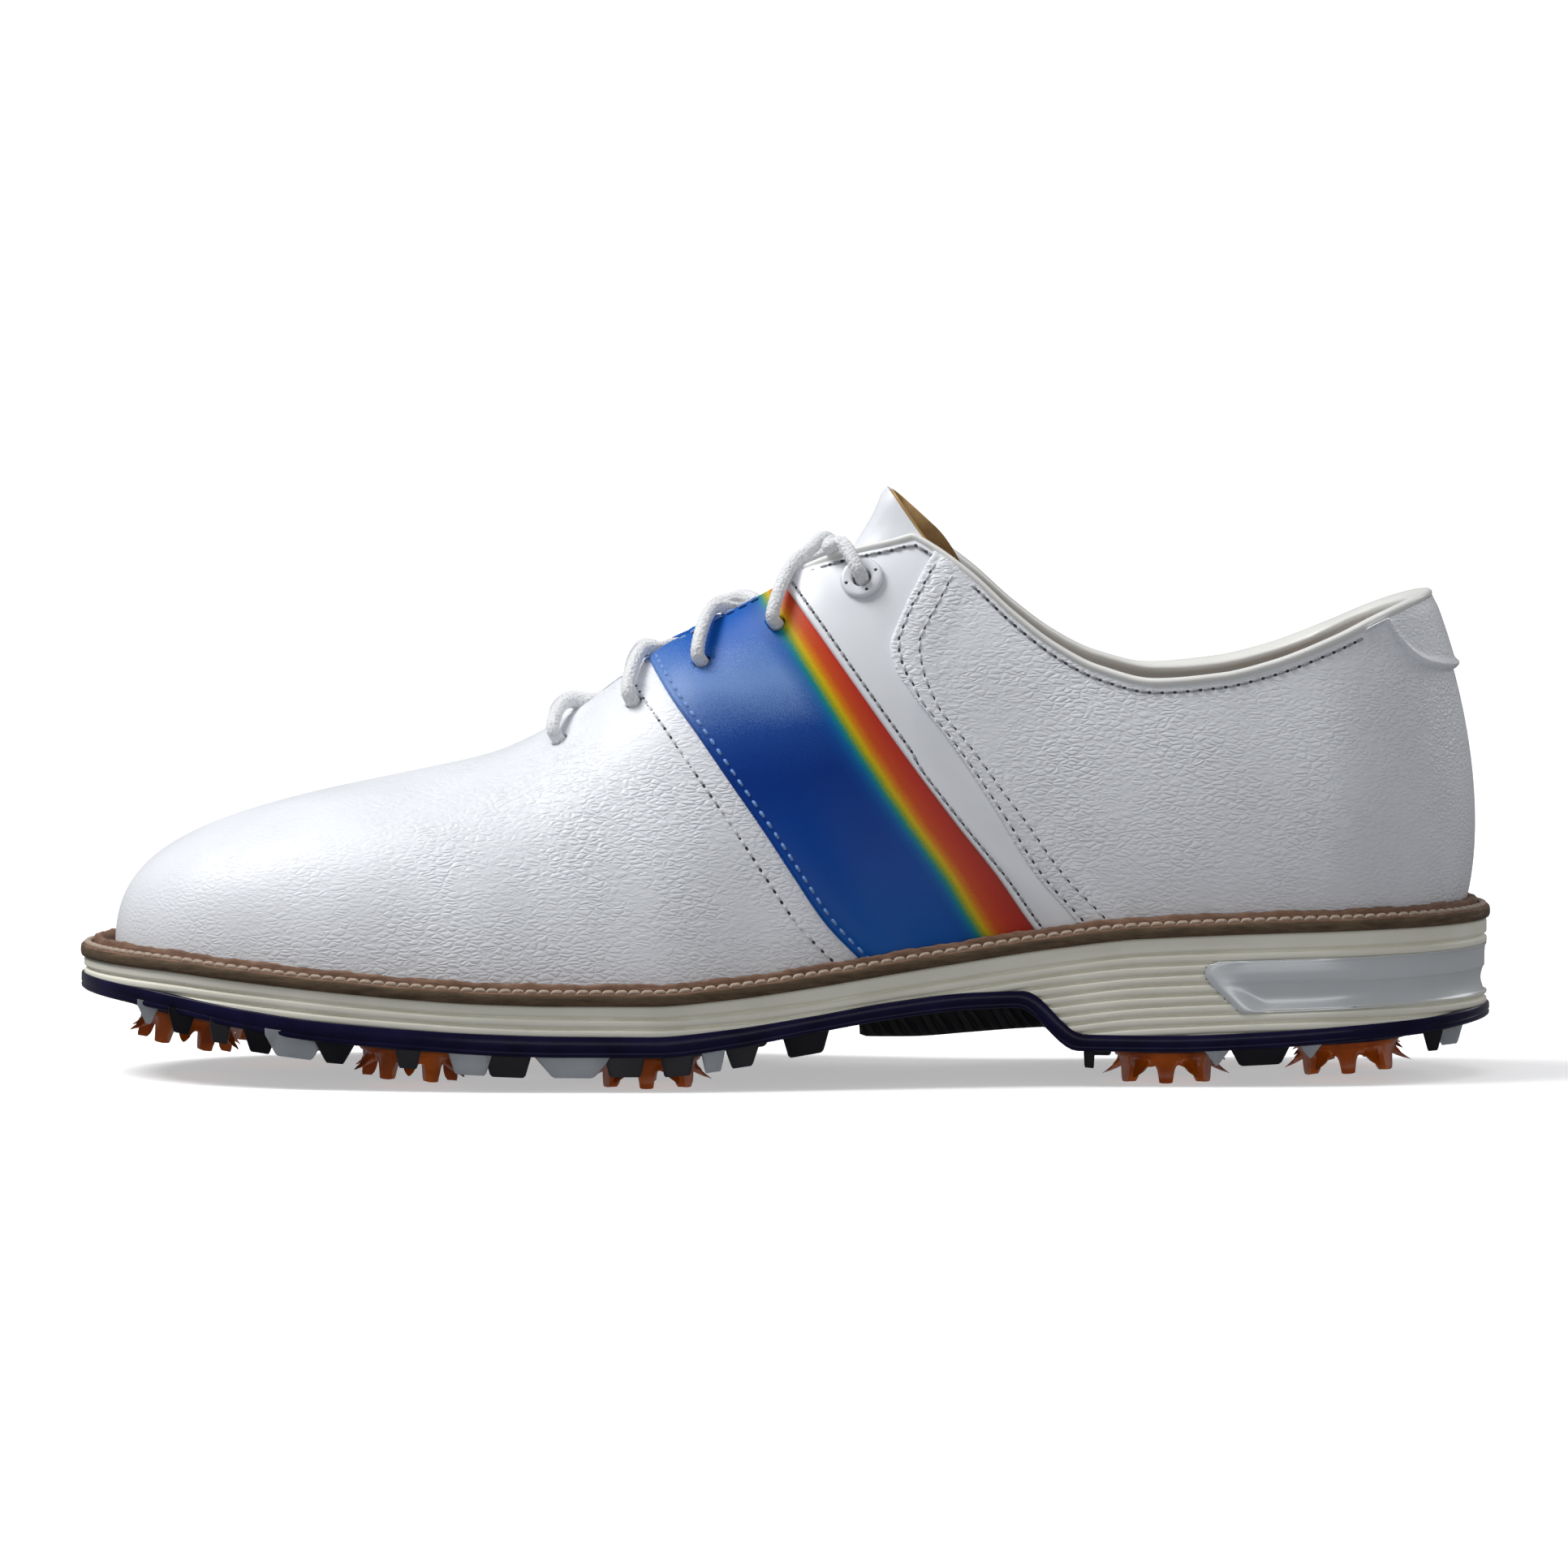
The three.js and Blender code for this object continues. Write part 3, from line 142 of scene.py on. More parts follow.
# ------------------------------------------------------------------ curves
def through(points, column=1):
    """A smooth function through points that never overshoots them (monotone cubic)."""
    x = np.array([p[0] for p in points], float)
    y = np.array([p[column] for p in points], float)
    slope = np.diff(y) / np.diff(x)
    tangent = np.zeros_like(y)
    tangent[0], tangent[-1] = slope[0], slope[-1]
    a, b = slope[:-1], slope[1:]
    same = a * b > 0
    tangent[1:-1][same] = 2 * a[same] * b[same] / (a[same] + b[same])

    def at(v):
        v = np.asarray(v, float)
        i = np.clip(np.searchsorted(x, v) - 1, 0, len(x) - 2)
        h = x[i + 1] - x[i]
        t = np.clip((v - x[i]) / h, 0, 1)
        t2, t3 = t * t, t * t * t
        inside = (
            y[i] * (2 * t3 - 3 * t2 + 1)
            + tangent[i] * h * (t3 - 2 * t2 + t)
            + y[i + 1] * (3 * t2 - 2 * t3)
            + tangent[i + 1] * h * (t3 - t2)
        )
        before = tangent[0] * np.minimum(v - x[0], 0)
        after = tangent[-1] * np.maximum(v - x[-1], 0)
        return inside + before + after

    return at


def smooth(v, low, high):
    t = np.clip((v - low) / (high - low), 0, 1)
    return t * t * (3 - 2 * t)


def mix(a, b, t):
    return a + (b - a) * t


def unit(v):
    return v / np.maximum(np.linalg.norm(v, axis=-1, keepdims=True), 1e-12)


def full_turn(count):
    return np.linspace(0, 2 * math.pi, count, endpoint=False)


def travelled(line):
    """The distance along a line at each of its points."""
    return np.concatenate([[0], np.cumsum(np.linalg.norm(np.diff(line, axis=0), axis=1))])


def at_marks(marks, length, line):
    """A line's points at some distances along it."""
    return np.stack([np.interp(marks, length, line[:, k]) for k in range(3)], -1)


def with_height(flat, height):
    return np.concatenate([flat, height[:, None]], 1)


def rounded(share):
    """The height of a rounded edge: 0 at its rim, and 1 from share 1 on."""
    return np.sqrt(np.maximum(1 - (1 - np.clip(share, 0, 1)) ** 2, 0))


outsole_bottom = through(OUTSOLE_BOTTOM)
outsole_top = through(OUTSOLE_TOP)
midsole_top = through(MIDSOLE_TOP)
feather_inset = through(FEATHER_INSET)
ridge_height = through(RIDGE_HEIGHT)
section = [through(SECTION, column) for column in (1, 2, 3, 4)]
throat_gap = through(THROAT_GAP)
topline = through(TOPLINE)
heel_tab_edge = through(HEEL_TAB_EDGE)
saddle_front = through(SADDLE_FRONT)
saddle_rear = through(SADDLE_REAR)
quarter_front = through(QUARTER_FRONT)


def angle_at(x):
    return np.arccos(np.clip(-np.asarray(x, float) / HALF_LENGTH, -1, 1))


def width_by_side(column):
    rows = [(float(angle_at(row[0])), row[column]) for row in SOLE_WIDTHS]
    first, last = rows[0], rows[-1]
    mirrored = (2 * math.pi - last[0], -last[1])
    return through([(-first[0], -first[1]), (0, 0), *rows, (math.pi, 0), mirrored])


inner_width = width_by_side(1)
outer_width = width_by_side(2)
TURN = np.linspace(0, math.pi, 800)
SIDE_SHIFT = (inner_width(TURN).max() - outer_width(TURN).max()) / 2


def edge(s):
    s = np.asarray(s, float)
    y = np.where(s >= 0, inner_width(s), -outer_width(-s)) - SIDE_SHIFT
    return np.stack([-HALF_LENGTH * np.cos(s), y], -1)


def inset_edge(s, inset):
    step = 1e-3
    along = unit(edge(s + step) - edge(s - step))
    p = edge(s)
    inset = np.asarray(inset, float)
    return p + np.stack([along[..., 1] * inset, -along[..., 0] * inset], -1)


# ------------------------------------------------------------------ the last
def soft(u, k):
    return k * np.log1p(np.exp(u / k))


def ridge_x(x):
    from_toe = TOE_CENTRE + soft(x - TOE_CENTRE, 16)
    return HEEL_CENTRE - soft(HEEL_CENTRE - from_toe, 12)


def ridge_slope(x):
    return (ridge_height(x + 1) - ridge_height(x - 1)) / 2


def last_point(s, t):
    """A point of the last: s is the place round the sole, t is 0 at the feather line, 1 at
    the ridge."""
    outline = edge(s)
    foot = inset_edge(s, feather_inset(outline[..., 0]))
    xr = ridge_x(outline[..., 0])
    top = ridge_height(xr)
    bottom = midsole_top(foot[..., 0]) + 0.6
    low_reach, low_rise, high_reach, high_rise = (f(xr) for f in section)
    out_x, out_y = foot[..., 0] - xr, foot[..., 1]
    lift = ridge_slope(xr) * np.minimum(out_x, 0) * high_reach / (top - bottom)
    rise = high_rise + lift
    u = 1 - t
    reach = u**3 + 3 * u * u * t * low_reach + 3 * u * t * t * high_reach
    height = 3 * u * u * t * low_rise + 3 * u * t * t * rise + t**3
    return np.stack([xr + out_x * reach, out_y * reach, bottom + (top - bottom) * height], -1)


def last_normal(s, t):
    at = np.minimum(t, 0.985)
    step = 1e-3
    along_s = last_point(s + step, at) - last_point(s - step, at)
    along_t = last_point(s, at + step) - last_point(s, np.maximum(at - step, 0))
    normal = unit(np.cross(along_t, along_s))
    slope = ridge_slope(ridge_x(edge(s)[..., 0]))
    ridge = unit(np.stack([-slope, np.zeros_like(slope), np.ones_like(slope)], -1))
    share = smooth(t, 0.9, 1)[..., None]
    return unit(normal * (1 - share) + ridge * share)


def surface(s, t, distance):
    s, t = np.broadcast_arrays(np.asarray(s, float), np.asarray(t, float))
    distance = np.broadcast_to(np.asarray(distance, float), s.shape)
    return last_point(s, t) + last_normal(s, t) * distance[..., None]


def bisect(low, high, is_high, steps=40):
    low, high = np.array(low, float), np.array(high, float)
    for _ in range(steps):
        middle = (low + high) / 2
        up = is_high(middle)
        high = np.where(up, middle, high)
        low = np.where(up, low, middle)
    return (low + high) / 2


def find_top(s):
    def above(t):
        p = last_point(s, t)
        return (np.abs(p[..., 1]) < throat_gap(p[..., 0])) | (p[..., 2] > topline(p[..., 0]))

    found = bisect(np.full_like(s, 0.2), np.ones_like(s), above)
    return np.where(ridge_x(edge(s)[..., 0]) <= THROAT_START, 1.0, found)


TOP_S = np.linspace(-math.pi, math.pi, 2881)
TOP_T = find_top(TOP_S)


def wrap(s):
    return (np.asarray(s, float) + math.pi) % (2 * math.pi) - math.pi


def top_of(s):
    return np.interp(wrap(s), TOP_S, TOP_T)


def seam_angle(side, seam, b, shift=0.0):
    """The place s of a seam at the share b of the way up to the upper's top edge."""
    b = np.asarray(b, float)
    low = np.full_like(b, float(angle_at(-100)))
    high = np.full_like(b, float(angle_at(140)))

    def past(a):
        p = last_point(side * a, b * top_of(side * a))
        return p[..., 0] > seam(p[..., 2]) + shift

    return side * bisect(low, high, past)


def locate(side, x, z):
    """The place (s, t) of a point of the side view."""
    x, z = np.broadcast_arrays(np.asarray(x, float), np.asarray(z, float))
    s = side * angle_at(x)
    t = np.full(x.shape, 0.5)
    low_a = np.full(x.shape, float(angle_at(-140)))
    high_a = np.full(x.shape, float(angle_at(140)))

    def too_high(v):
        return last_point(s, v)[..., 2] > z

    def too_far(a):
        return last_point(side * a, t)[..., 0] > x

    for _ in range(24):
        t = bisect(np.zeros(x.shape), np.ones(x.shape), too_high, 22)
        s = side * bisect(low_a, high_a, too_far, 22)
    return s, t


SEATS = {}
for eyelet_side in (-1, 1):
    found_s, found_t = locate(eyelet_side, [e[0] for e in EYELETS], [e[1] for e in EYELETS])
    SEATS[eyelet_side] = list(zip(found_s, found_t))


# ------------------------------------------------------------------ mesh helpers
# The CAD model's middle is moved to the origin, so its sole's middle line is a little aside.
welt_low, welt_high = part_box("welt")
SHIFT = np.array([0, (welt_low[1] + welt_high[1]) / 2 / MM, 0])
AXIS = 0.001  # the radius at which a turned shape closes


def make_mesh(name, points, faces, sharp_angle=40):
    data = bpy.data.meshes.new(name)
    data.from_pydata([tuple(p) for p in (np.asarray(points) + SHIFT) * MM], [], faces)
    data.validate()
    bm = bmesh.new()
    bm.from_mesh(data)
    bmesh.ops.remove_doubles(bm, verts=bm.verts, dist=1e-6)
    bmesh.ops.dissolve_degenerate(bm, edges=bm.edges, dist=1e-7)
    bmesh.ops.recalc_face_normals(bm, faces=bm.faces)
    limit = math.radians(sharp_angle)
    for line in bm.edges:
        line.smooth = not (line.is_manifold and line.calc_face_angle(0) > limit)
    for face in bm.faces:
        face.smooth = True
    bm.to_mesh(data)
    bm.free()
    piece = bpy.data.objects.new(name, data)
    bpy.context.scene.collection.objects.link(piece)
    return piece


def grid_faces(rows, columns, start=0, closed=False, flip=False):
    j, i = np.meshgrid(np.arange(rows - 1), np.arange(columns - (not closed)), indexing="ij")
    n = (i + 1) % columns
    quads = np.stack([j * columns + i, j * columns + n, (j + 1) * columns + n, (j + 1) * columns + i], -1)
    quads = quads.reshape(-1, 4) + start
    if flip:
        quads = quads[:, ::-1]
    return quads.tolist()


def tube_faces(rows, columns):
    """Faces of a grid that is closed both ways."""
    last = (rows - 1) * columns
    seam = [[last + i, last + (i + 1) % columns, (i + 1) % columns, i] for i in range(columns)]
    return grid_faces(rows, columns, closed=True) + seam


def between(name, outer, inner, sharp_angle=40, welded=None):
    """A closed solid between two grids of points. Its last row has no wall between the
    welded columns, where it meets its own mirror image."""
    rows, columns = outer.shape[:2]
    count = rows * columns
    points = np.concatenate([outer.reshape(-1, 3), inner.reshape(-1, 3)])
    faces = grid_faces(rows, columns)
    faces += grid_faces(rows, columns, count, flip=True)
    top = (rows - 1) * columns
    walls = [(0, welded[0] + 1), (welded[1], columns)] if welded else [(0, columns)]
    rims = [range(columns)]
    rims += [range(top + start, top + end) for start, end in walls]
    rims += [range(i, count, columns) for i in (0, columns - 1)]
    for rim in rims:
        for a, b in zip(rim, rim[1:]):
            faces.append([a, b, b + count, a + count])
    return make_mesh(name, points, faces, sharp_angle)


def lathe(profile, sides, centre=(0, 0, 0), axes=np.eye(3)):
    """Points and faces of a profile of (radius, height) turned round an axis."""
    turn = full_turn(sides)
    radius = np.array([r for r, _ in profile])[:, None]
    height = np.array([h for _, h in profile])[:, None]
    flat = np.stack([radius * np.cos(turn), radius * np.sin(turn), height + 0 * turn], -1)
    points = flat.reshape(-1, 3) @ axes + np.asarray(centre, float)
    return points, grid_faces(len(profile), sides, closed=True)


def pin(radius, low, high, sides, centre, axes):
    """Points and faces of a plain cylinder."""
    profile = [(AXIS, low), (radius, low), (radius, high), (AXIS, high)]
    return lathe(profile, sides, centre, axes)


def joined(parts):
    """One list of points and faces from several."""
    points, faces, start = [], [], 0
    for part_points, part_faces in parts:
        points.append(np.asarray(part_points, float))
        faces += [[v + start for v in face] for face in part_faces]
        start += len(part_points)
    return np.concatenate(points), faces


def cut_away(piece, cutter):
    """Cut one solid out of another and drop the cutter."""
    modifier = piece.modifiers.new("cut", "BOOLEAN")
    modifier.operation = "DIFFERENCE"
    modifier.solver = "EXACT"
    modifier.object = cutter
    bpy.context.view_layer.update()
    evaluated = piece.evaluated_get(bpy.context.evaluated_depsgraph_get())
    result = bpy.data.meshes.new_from_object(evaluated)
    piece.modifiers.clear()
    piece.data = result
    bpy.data.objects.remove(cutter)
    return piece


def axes_for(normal):
    """Three unit vectors, the last along the normal."""
    normal = np.asarray(normal, float) / np.linalg.norm(normal)
    side = np.cross([0, 0, 1.0], normal)
    if np.linalg.norm(side) < 1e-6:
        side = np.array([1.0, 0, 0])
    side /= np.linalg.norm(side)
    return np.stack([side, np.cross(normal, side), normal])


def sweep(name, path, profile, normals, sharp_angle=40):
    """A solid along a path, with one closed profile of (out, up) pairs for each station."""
    along = unit(np.gradient(path, axis=0))
    normals = unit(normals - along * (normals * along).sum(-1, keepdims=True))
    side = np.cross(along, normals)
    grid = path[:, None] + side[:, None] * profile[..., :1] + normals[:, None] * profile[..., 1:]
    count, around = profile.shape[:2]
    faces = grid_faces(count, around, closed=True)
    faces += [list(range(around)), [(count - 1) * around + i for i in reversed(range(around))]]
    return make_mesh(name, grid.reshape(-1, 3), faces, sharp_angle)


def repeated(name, template, faces, origins, frames, sharp_angle=60):
    """Copies of one small shape: frames holds three unit vectors for each origin."""
    template = np.asarray(template, float)
    points = origins[:, None] + np.einsum("kc,ncd->nkd", template, frames)
    every = []
    size = len(template)
    for n in range(len(origins)):
        every += [[v + n * size for v in face] for face in faces]
    return make_mesh(name, points.reshape(-1, 3), every, sharp_angle)


# ------------------------------------------------------------------ materials
class Nodes:
    """A material's node tree, with short calls for the nodes it is made of."""

    def __init__(self, name, roughness=0.5, **sockets):
        self.material = bpy.data.materials.new(name)
        self.material.use_nodes = True
        self.tree = self.material.node_tree
        self.shader = self.tree.nodes["Principled BSDF"]
        self.shader.inputs["Roughness"].default_value = roughness
        for key, value in sockets.items():
            self.shader.inputs[key.replace("_", " ")].default_value = value

    def add(self, kind, **inputs):
        node = self.tree.nodes.new("ShaderNode" + kind)
        for key, value in inputs.items():
            socket = node.inputs[key.replace("_", " ")]
            if isinstance(value, bpy.types.NodeSocket):
                self.tree.links.new(value, socket)
            else:
                socket.default_value = value
        return node

    def mapping(self, vector, scale=(1, 1, 1), rotation=(0, 0, 0)):
        node = self.add("Mapping", Vector=vector, Scale=scale, Rotation=rotation)
        return node.outputs["Vector"]

    def place(self, scale=(1, 1, 1), rotation=(0, 0, 0)):
        coordinates = self.tree.nodes.new("ShaderNodeTexCoord")
        return self.mapping(coordinates.outputs["Object"], scale, rotation)

    def noise(self, vector, scale, detail=3.0, roughness=0.5, distortion=0.0):
        node = self.add(
            "TexNoise", Vector=vector, Scale=scale, Detail=detail, Roughness=roughness,
            Distortion=distortion,
        )
        return node.outputs["Fac"]

    def map_range(self, value, low, high, to_low=0.0, to_high=1.0, kind="LINEAR"):
        node = self.add("MapRange", Value=value)
        node.interpolation_type = kind
        for key, number in (
            ("From Min", low), ("From Max", high), ("To Min", to_low), ("To Max", to_high)
        ):
            node.inputs[key].default_value = number
        return node.outputs[0]

    def math(self, operation, a, b=0.0, c=0.0):
        node = self.tree.nodes.new("ShaderNodeMath")
        node.operation = operation
        for socket, value in zip(node.inputs, (a, b, c)):
            if isinstance(value, bpy.types.NodeSocket):
                self.tree.links.new(value, socket)
            else:
                socket.default_value = value
        return node.outputs[0]

    def ramp(self, value, stops, interpolation="LINEAR"):
        node = self.tree.nodes.new("ShaderNodeValToRGB")
        node.color_ramp.interpolation = interpolation
        marks = node.color_ramp.elements
        while len(marks) < len(stops):
            marks.new(0.5)
        for mark, (position, colour) in zip(marks, stops):
            mark.position = position
            mark.color = colour if len(colour) == 4 else (*colour, 1)
        self.tree.links.new(value, node.inputs["Fac"])
        return node.outputs["Color"]

    def link(self, value, socket):
        self.tree.links.new(value, self.shader.inputs[socket])

    def bump(self, height, strength, distance):
        node = self.add("Bump", Strength=strength, Distance=distance, Height=height)
        self.link(node.outputs["Normal"], "Normal")


SMOOTH_TOE = (-0.135, -0.055)  # in metres, where the grain starts and reaches its full depth


def pebble_height(m):
    """Full-grain leather: flat uneven cells between soft creases that run mostly level."""
    base = m.place()
    warp = m.add("TexNoise", Vector=base, Scale=260.0, Detail=2.0)
    moved = m.tree.nodes.new("ShaderNodeVectorMath")
    moved.operation = "MULTIPLY_ADD"
    m.tree.links.new(warp.outputs["Color"], moved.inputs[0])
    moved.inputs[1].default_value = (0.0016, 0.0016, 0.0016)
    m.tree.links.new(base, moved.inputs[2])
    stretched = m.mapping(moved.outputs[0], (0.5, 0.8, 1.25), (0, math.radians(16), 0))
    cells = m.add("TexVoronoi", Vector=stretched, Scale=820.0)
    cells.feature = "DISTANCE_TO_EDGE"
    flats = m.map_range(cells.outputs["Distance"], 0.0, 0.3, kind="SMOOTHSTEP")
    creases = m.noise(stretched, 620.0, 3, 0.6, 0.6)
    strength = m.math("MULTIPLY_ADD", m.noise(base, 60.0, 2), 1.5, -0.35)
    height = m.math("MULTIPLY", flats, strength)
    height = m.math("MULTIPLY_ADD", creases, 0.7, height)
    along = m.add("SeparateXYZ", Vector=base).outputs["X"]
    height = m.math("MULTIPLY", height, m.map_range(along, *SMOOTH_TOE, to_low=0.35))
    return m.math("MULTIPLY_ADD", m.noise(base, 2600.0, 2), 0.1, height)


def leather_white(name, pebbled, tint=(0.80, 0.82, 0.86)):
    m = Nodes(name, 0.42, Specular_IOR_Level=0.45, Coat_Weight=0.12, Coat_Roughness=0.3)
    base = m.place()
    clouds = m.noise(base, 45.0, 3)
    light = tuple(min(1, c * 1.03) for c in tint)
    dark = tuple(c * 0.97 for c in tint)
    m.link(m.ramp(clouds, [(0.35, dark), (0.65, light)]), "Base Color")
    if pebbled:
        m.bump(pebble_height(m), 0.65, 0.0004)
        rough = m.math("MULTIPLY_ADD", clouds, 0.16, 0.38)
    else:
        m.bump(m.noise(base, 1500.0, 4, 0.6), 0.18, 0.00012)
        rough = m.math("MULTIPLY_ADD", clouds, 0.12, 0.3)
    m.link(rough, "Roughness")
    return m.material


# The saddle's colours, by the distance in mm ahead of its red band, which widens downwards.
RED_WIDTH = [(37, 9.3), (97, 4.4)]
BAND_START, BAND_SPAN = -12.0, 40.0
# The red darkens towards the eyestay's edge behind it (the first two stops): painted shade.
RAINBOW = [
    (-12.0, (0.30, 0.018, 0.014)),
    (-4.5, (0.52, 0.04, 0.02)),
    (-1.6, (0.58, 0.075, 0.014)),
    (0.0, (0.66, 0.21, 0.006)),
    (1.1, (0.62, 0.43, 0.006)),
    (2.2, (0.26, 0.34, 0.02)),
    (3.2, (0.01, 0.24, 0.20)),
    (4.6, (0.0, 0.13, 0.36)),
    (6.8, (0.0, 0.07, 0.32)),
]
# The saddle's blue by height: the pale band near the top is a painted sheen, and the blue is lighter
# towards its foot. Height in mm, colour.
BLUES_AND_SHEEN = [
    (30, (0.0, 0.095, 0.42)),
    (50, (0.0, 0.056, 0.33)),
    (66, (0.0, 0.032, 0.23)),
    (76, (0.01, 0.06, 0.29)),
    (86, (0.15, 0.27, 0.56)),
    (94, (0.0, 0.095, 0.44)),
]
BLUE_LOW, BLUE_SPAN = 30.0, 64.0
RAINBOW_FADE = (3.5, 9.0)
red_width = through(RED_WIDTH)


def paint_band(piece):
    """Store for each point how far it lies ahead of the red band, from 0 to 1."""
    points = np.array([v.co for v in piece.data.vertices]) / MM
    ahead = saddle_rear(points[:, 2]) - points[:, 0] - red_width(points[:, 2])
    layer = piece.data.attributes.new("band", "FLOAT", "POINT")
    layer.data.foreach_set("value", ((ahead - BAND_START) / BAND_SPAN).astype(np.float32))


def leather_blue():
    m = Nodes("blue_leather", 0.4, Specular_IOR_Level=0.16)
    band = m.tree.nodes.new("ShaderNodeAttribute")
    band.attribute_name = "band"
    base = m.place()
    waver = m.noise(base, 220.0, 3)
    grain = m.noise(base, 4200.0, 2)
    speckle = m.math("MULTIPLY_ADD", grain, 0.05, -0.025)
    place = m.math("ADD", band.outputs["Fac"], speckle)
    place = m.math("MULTIPLY_ADD", waver, 0.01, place)
    stops = [((mm - BAND_START) / BAND_SPAN, colour) for mm, colour in RAINBOW]
    # The rainbow, whose red darkens towards the eyestay's edge as painted shade.
    rainbow = m.ramp(place, stops)
    height = m.add("SeparateXYZ", Vector=base).outputs["Z"]
    height = m.math("MULTIPLY_ADD", height, 1000 / BLUE_SPAN, -BLUE_LOW / BLUE_SPAN)
    height = m.math("MULTIPLY_ADD", m.noise(base, 26.0, 2), 0.3, height)
    height = m.math("ADD", height, m.math("MULTIPLY_ADD", speckle, 4.0, -0.15))
    # The blue by height, with a painted sheen as the pale band near the top.
    blue = m.ramp(height, [((z - BLUE_LOW) / BLUE_SPAN, colour) for z, colour in BLUES_AND_SHEEN])
    share = m.map_range(place, *((mm - BAND_START) / BAND_SPAN for mm in RAINBOW_FADE))
    both = m.tree.nodes.new("ShaderNodeMix")
    both.data_type = "RGBA"
    m.tree.links.new(share, both.inputs["Factor"])
    m.tree.links.new(rainbow, both.inputs[6])
    m.tree.links.new(blue, both.inputs[7])
    m.link(both.outputs[2], "Base Color")
    m.bump(m.noise(base, 1300.0, 4, 0.6), 0.2, 0.00012)
    m.link(m.math("MULTIPLY_ADD", grain, 0.14, 0.33), "Roughness")
    return m.material


def plain(name, low, high, roughness=0.5, scale=60.0, bump=(900.0, 0.2, 0.0002), **sockets):
    """A two-tone mottled finish with a fine bump."""
    m = Nodes(name, roughness, **sockets)
    base = m.place()
    m.link(m.ramp(m.noise(base, scale, 4), [(0.35, low), (0.65, high)]), "Base Color")
    m.bump(m.noise(base, bump[0], 3), *bump[1:])
    return m.material


def lining_leather():
    m = Nodes("tan_lining", 0.75, Sheen_Weight=0.3)
    base = m.place()
    tone = m.noise(base, 140.0, 5, 0.65)
    m.link(m.ramp(tone, [(0.3, (0.36, 0.2, 0.07)), (0.7, (0.58, 0.37, 0.15))]), "Base Color")
    m.bump(m.noise(base, 1700.0, 4), 0.35, 0.0002)
    return m.material


def welt_leather(name, low, high):
    m = Nodes(name, 0.72, Specular_IOR_Level=0.3)
    fibres = m.place((1, 1, 7))
    tone = m.noise(fibres, 150.0, 5, 0.7)
    m.link(m.ramp(tone, [(0.3, low), (0.7, high)]), "Base Color")
    m.bump(m.noise(fibres, 700.0, 5, 0.7), 0.5, 0.0004)
    return m.material


def thread(name, low, high):
    m = Nodes(name, 0.7, Sheen_Weight=0.2)
    twist = m.place((1, 1, 1), (0, math.radians(40), 0))
    tone = m.noise(twist, 2400.0, 2)
    m.link(m.ramp(tone, [(0.3, low), (0.7, high)]), "Base Color")
    m.bump(tone, 0.5, 0.0002)
    return m.material


def translucent(name, low, high, let_through, roughness):
    """Moulded polyurethane that lets some light through."""
    m = Nodes(name, roughness, IOR=1.5, Transmission_Weight=let_through, Specular_IOR_Level=0.2)
    base = m.place()
    m.link(m.ramp(m.noise(base, 130.0, 3), [(0.3, low), (0.7, high)]), "Base Color")
    m.bump(m.noise(base, 500.0, 2), 0.15, 0.0002)
    return m.material


def arch_streaks():
    """Diagonal streaks moulded into the arch plate."""
    m = Nodes("black_arch", 0.5, Specular_IOR_Level=0.12)
    streak = m.place((1, 1, 1), (0, math.radians(32), math.radians(20)))
    wave = m.add("TexWave", Vector=streak, Scale=160.0, Distortion=1.2).outputs["Fac"]
    stops = [(0.3, (0.004, 0.004, 0.005)), (0.95, (0.014, 0.014, 0.016))]
    m.link(m.ramp(wave, stops), "Base Color")
    m.bump(wave, 0.5, 0.0004)
    return m.material


def woven_lace():
    m = Nodes("white_lace", 0.75, Sheen_Weight=0.25)
    knit = m.place((1, 1, 1), (0, math.radians(30), 0))
    braid = m.add("TexVoronoi", Vector=knit, Scale=1500.0).outputs["Distance"]
    tone = m.ramp(braid, [(0.0, (0.9, 0.91, 0.92)), (0.8, (0.72, 0.73, 0.75))])
    m.link(tone, "Base Color")
    m.bump(m.math("SUBTRACT", 1.0, braid), 0.6, 0.0004)
    return m.material


